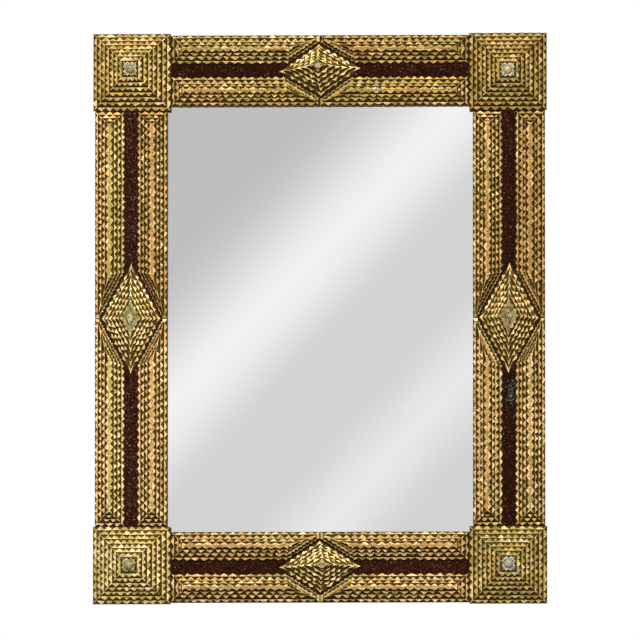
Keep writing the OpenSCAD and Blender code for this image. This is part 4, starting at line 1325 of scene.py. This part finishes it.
def screw(stack, at, back, tip, turn):
    """A round-headed screw, seen from the back: a domed head with a slot, on a pointed shank."""
    r, rim_h, seat, known = SCREW_HEAD.x / 2, SCREW_HEAD.y * UPRIGHT, back + SCREW_HEAD.y, {}

    def point(flat, depth):
        key = tuple(round(v, 7) for v in (*flat, depth))
        if key not in known:
            known[key] = stack.point(at + turned(flat, turn), depth)
        return known[key]

    tops, feet = [], []
    for v in HEAD_ALONG:
        flats, depths = [], []
        for i, u in enumerate(HEAD_ACROSS):
            out = v * math.sqrt(1 - u * u)
            domed = 0 if i in SLOT_FLOOR else (SCREW_HEAD.y - rim_h) * max(0.0, 1 - u * u - out ** 2) ** 0.6
            flats.append(Vector((u * r, out * r)))
            depths.append(seat - rim_h - domed)
        tops.append([point(p, d) for p, d in zip(flats, depths)])
        feet.append([point(p, seat) for p in flats])
    stack.cushion(tops, feet, False)
    shank = (0.0012, seat - 0.0002), (0.0015, seat), (0.0014, tip - 0.004), (0.0002, tip - 0.0001)
    rings = [stack.ring([at + p for p in circle(r, SCREW_TURNS)], [depth] * SCREW_TURNS) for r, depth in shank]
    stack.sleeve(rings)
    stack.face(rings[0][::-1])
    stack.face(rings[-1])


# Radius of the floor and the points around it, and half width of the screen
FLOOR_R, FLOOR_POINTS, SCREEN_HALF = 12.0, 48, 4.0
# The light in the glass, in pixels across a slant through the picture: width of the picture, where the slant
# crosses its edge and how much the bands lean; then for each band where it rises, where it falls and its
# strength, and the step in the grey around them
PICTURE_PX, CROSSING_PX, BAND_LEAN, LESSER_LEAN = 640, 563, 0.05, 0.4
MAIN_BAND, SIDE_BAND = ((-98, 8), (0, 80), 0.295), ((136, 203), (197, 262), 0.16)
GREY_STEP, GREY_MORE, GREY, GLASS_LOSS = (-60, 60), 0.13, 0.515, 0.895


def facing(name, data, place, way):
    """A camera or a lamp at a place, turned to look one way."""
    thing = added(name, data)
    thing.location, thing.rotation_mode = place, "QUATERNION"
    thing.rotation_quaternion = way.to_track_quat("-Z", "Y")
    return thing


def backdrop(name, points, faces, finish):
    mesh = bpy.data.meshes.new(name)
    mesh.from_pydata(points, [], faces)
    mesh.materials.append(finish)
    return added(name, mesh)


class MIRROR_OT_stage(bpy.types.Operator):
    """Makes the floor, the soft light, the screen that the glass mirrors and the camera"""
    bl_idname = "mirror.stage"
    bl_label = "Stage"

    def execute(self, context):
        scene, s = context.scene, context.scene.mirror_stage
        scene.view_settings.view_transform = "Standard"
        eye = Vector((math.sin(s.azimuth) * math.cos(s.elevation), -math.cos(s.azimuth) * math.cos(s.elevation),
                      math.sin(s.elevation)))
        data = bpy.data.cameras.new("camera")
        data.sensor_width, data.lens = 36, 36 * s.distance / s.picture
        data.clip_start, data.clip_end = 0.1, 60
        scene.camera = facing("camera", data, Vector((0, -FACE, s.aim)) + eye * s.distance, -eye)
        scene.world = self.world(s)
        self.floor()
        self.screen(s, scene.camera.location)
        near = bpy.data.lights.new("near_light", "AREA")
        near.shape, near.size, near.energy = "DISK", 0.5, s.key
        even = bpy.data.lights.new("even_light", "SUN")
        even.angle, even.energy = math.radians(14), s.sun
        for light, place in ((near, Vector((0.0, -1.4, 0.68))), (even, Vector((-0.12, -2.0, 0.95)))):
            facing(light.name, light, place, -place)
        return {"FINISHED"}

    def world(self, s):
        """Soft light, stronger from above. The camera, the glass and the metal see plain white instead."""
        f = Finish("studio", bpy.data.worlds.new)
        height = f.node("SeparateXYZ", "Z", {0: f.node("TexCoord", "Generated")})
        strength = f.span(height, -1, 1, s.ambient_low, s.ambient_high, False)
        soft, seen = (f.node("Background", "Background", {"Color": tint, "Strength": power})
                      for tint, power in (((1, 0.985, 0.96), strength), ((1, 1, 1), 1.0)))
        rays = f.tree.nodes.new("ShaderNodeLightPath").outputs
        plain = f.most(f.most(rays["Is Camera Ray"], rays["Is Glossy Ray"]), rays["Is Transmission Ray"])
        return f.show(f.mix_shaders(plain, soft, seen), "OutputWorld")

    def floor(self):
        """A pale floor under the mirror, solid from above and open from below."""
        f = Finish("pale_floor")
        colour = f.mix(f.noise(3, 4), (0.82, 0.82, 0.81), (0.86, 0.86, 0.85))
        pale, clear = f.principled(Base_Color=colour, Roughness=0.75), f.node("BsdfTransparent", "BSDF")
        finish = f.show(f.mix_shaders(f.node("NewGeometry", "Backfacing"), pale, clear))
        level = CAD_BOX[0].z - 0.0005
        points = [(0, 0, level), *((*p, level) for p in circle(FLOOR_R, FLOOR_POINTS))]
        floor = backdrop("floor", points, [(0, 1 + i, 1 + j) for i, j in around(FLOOR_POINTS)], finish)
        floor.visible_diffuse = False

    def screen(self, s, eye):
        """A grey screen with two soft slanting bands of light, which only the glass and the metal see."""
        f = Finish("screen_light")
        # The glass at x shows the screen at x * (1 + k) - k * eye.x, where k is the screen's share of the way
        k = s.screen / abs(eye.y)
        x, z = (f.over(f.plus(f.axis(letter), k * off), 1 + k) for letter, off in (("X", eye.x), ("Z", eye.z)))
        slant, row = f.over(f.less(x, z), math.sqrt(2)), f.over(f.plus(x, z), math.sqrt(2))
        pixel = s.picture / PICTURE_PX
        across = f.plus(f.over(slant, pixel), (PICTURE_PX - CROSSING_PX) / math.sqrt(2))
        turn = f.times(f.over(row, pixel), BAND_LEAN)
        first, second = f.plus(across, f.times(turn, LESSER_LEAN)), f.plus(across, turn)

        def band(at, rise, fall, strength):
            return f.times(f.times(f.span(at, *rise), f.less(1.0, f.span(at, *fall))), strength)

        grey = f.plus(f.times(f.span(first, *GREY_STEP), GREY_MORE), GREY)
        light = f.plus(grey, f.plus(band(first, *MAIN_BAND), band(second, *SIDE_BAND)))
        glow = f.node("Emission", "Emission", {"Color": (1, 1, 1), "Strength": f.over(light, GLASS_LOSS)})
        signs = (-1, -1), (1, -1), (1, 1), (-1, 1)
        corners = [(right * SCREEN_HALF, -s.screen, up * SCREEN_HALF) for right, up in signs]
        screen = backdrop("screen", corners, [(0, 1, 2, 3)], f.show(glow))
        screen.visible_camera = screen.visible_diffuse = screen.visible_shadow = False
        screen.visible_transmission = screen.visible_volume_scatter = False


class MIRROR_PT_panel(bpy.types.Panel):
    """Lists the steps that dress the mirror"""
    bl_idname = "MIRROR_PT_panel"
    bl_label = "Tramp art mirror"
    bl_space_type = "VIEW_3D"
    bl_region_type = "UI"
    bl_category = "Mirror"

    def draw(self, context):
        column = self.layout.column(align=True)
        for step in OPERATORS:
            column.operator(step.bl_idname)
        for label in GROUPS:
            group = getattr(context.scene, label)
            box = self.layout.box()
            for entry in group.bl_rna.properties:
                if entry.identifier not in ("rna_type", "name"):
                    box.prop(group, entry.identifier)


OPERATORS = (MIRROR_OT_stage, MIRROR_OT_runs, MIRROR_OT_corner_blocks, MIRROR_OT_lozenges, MIRROR_OT_stars,
             MIRROR_OT_channels, MIRROR_OT_glass, MIRROR_OT_boards, MIRROR_OT_hangers)
GROUPS = {"mirror_carving": CarvingSizes, "mirror_gilding": GildingColours, "mirror_velvet": VelvetColours,
          "mirror_back": BackColours, "mirror_stage": StageSettings}


def register():
    for kind in (*GROUPS.values(), *OPERATORS, MIRROR_PT_panel):
        bpy.utils.register_class(kind)
    for label, kind in GROUPS.items():
        setattr(bpy.types.Scene, label, PointerProperty(type=kind))


def unregister():
    for label in GROUPS:
        delattr(bpy.types.Scene, label)
    for kind in (MIRROR_PT_panel, *reversed(OPERATORS), *reversed(list(GROUPS.values()))):
        bpy.utils.unregister_class(kind)


def main():
    register()
    for step in OPERATORS:
        group, name = step.bl_idname.split(".")
        getattr(getattr(bpy.ops, group), name)()


if __name__ == "__main__":
    main()
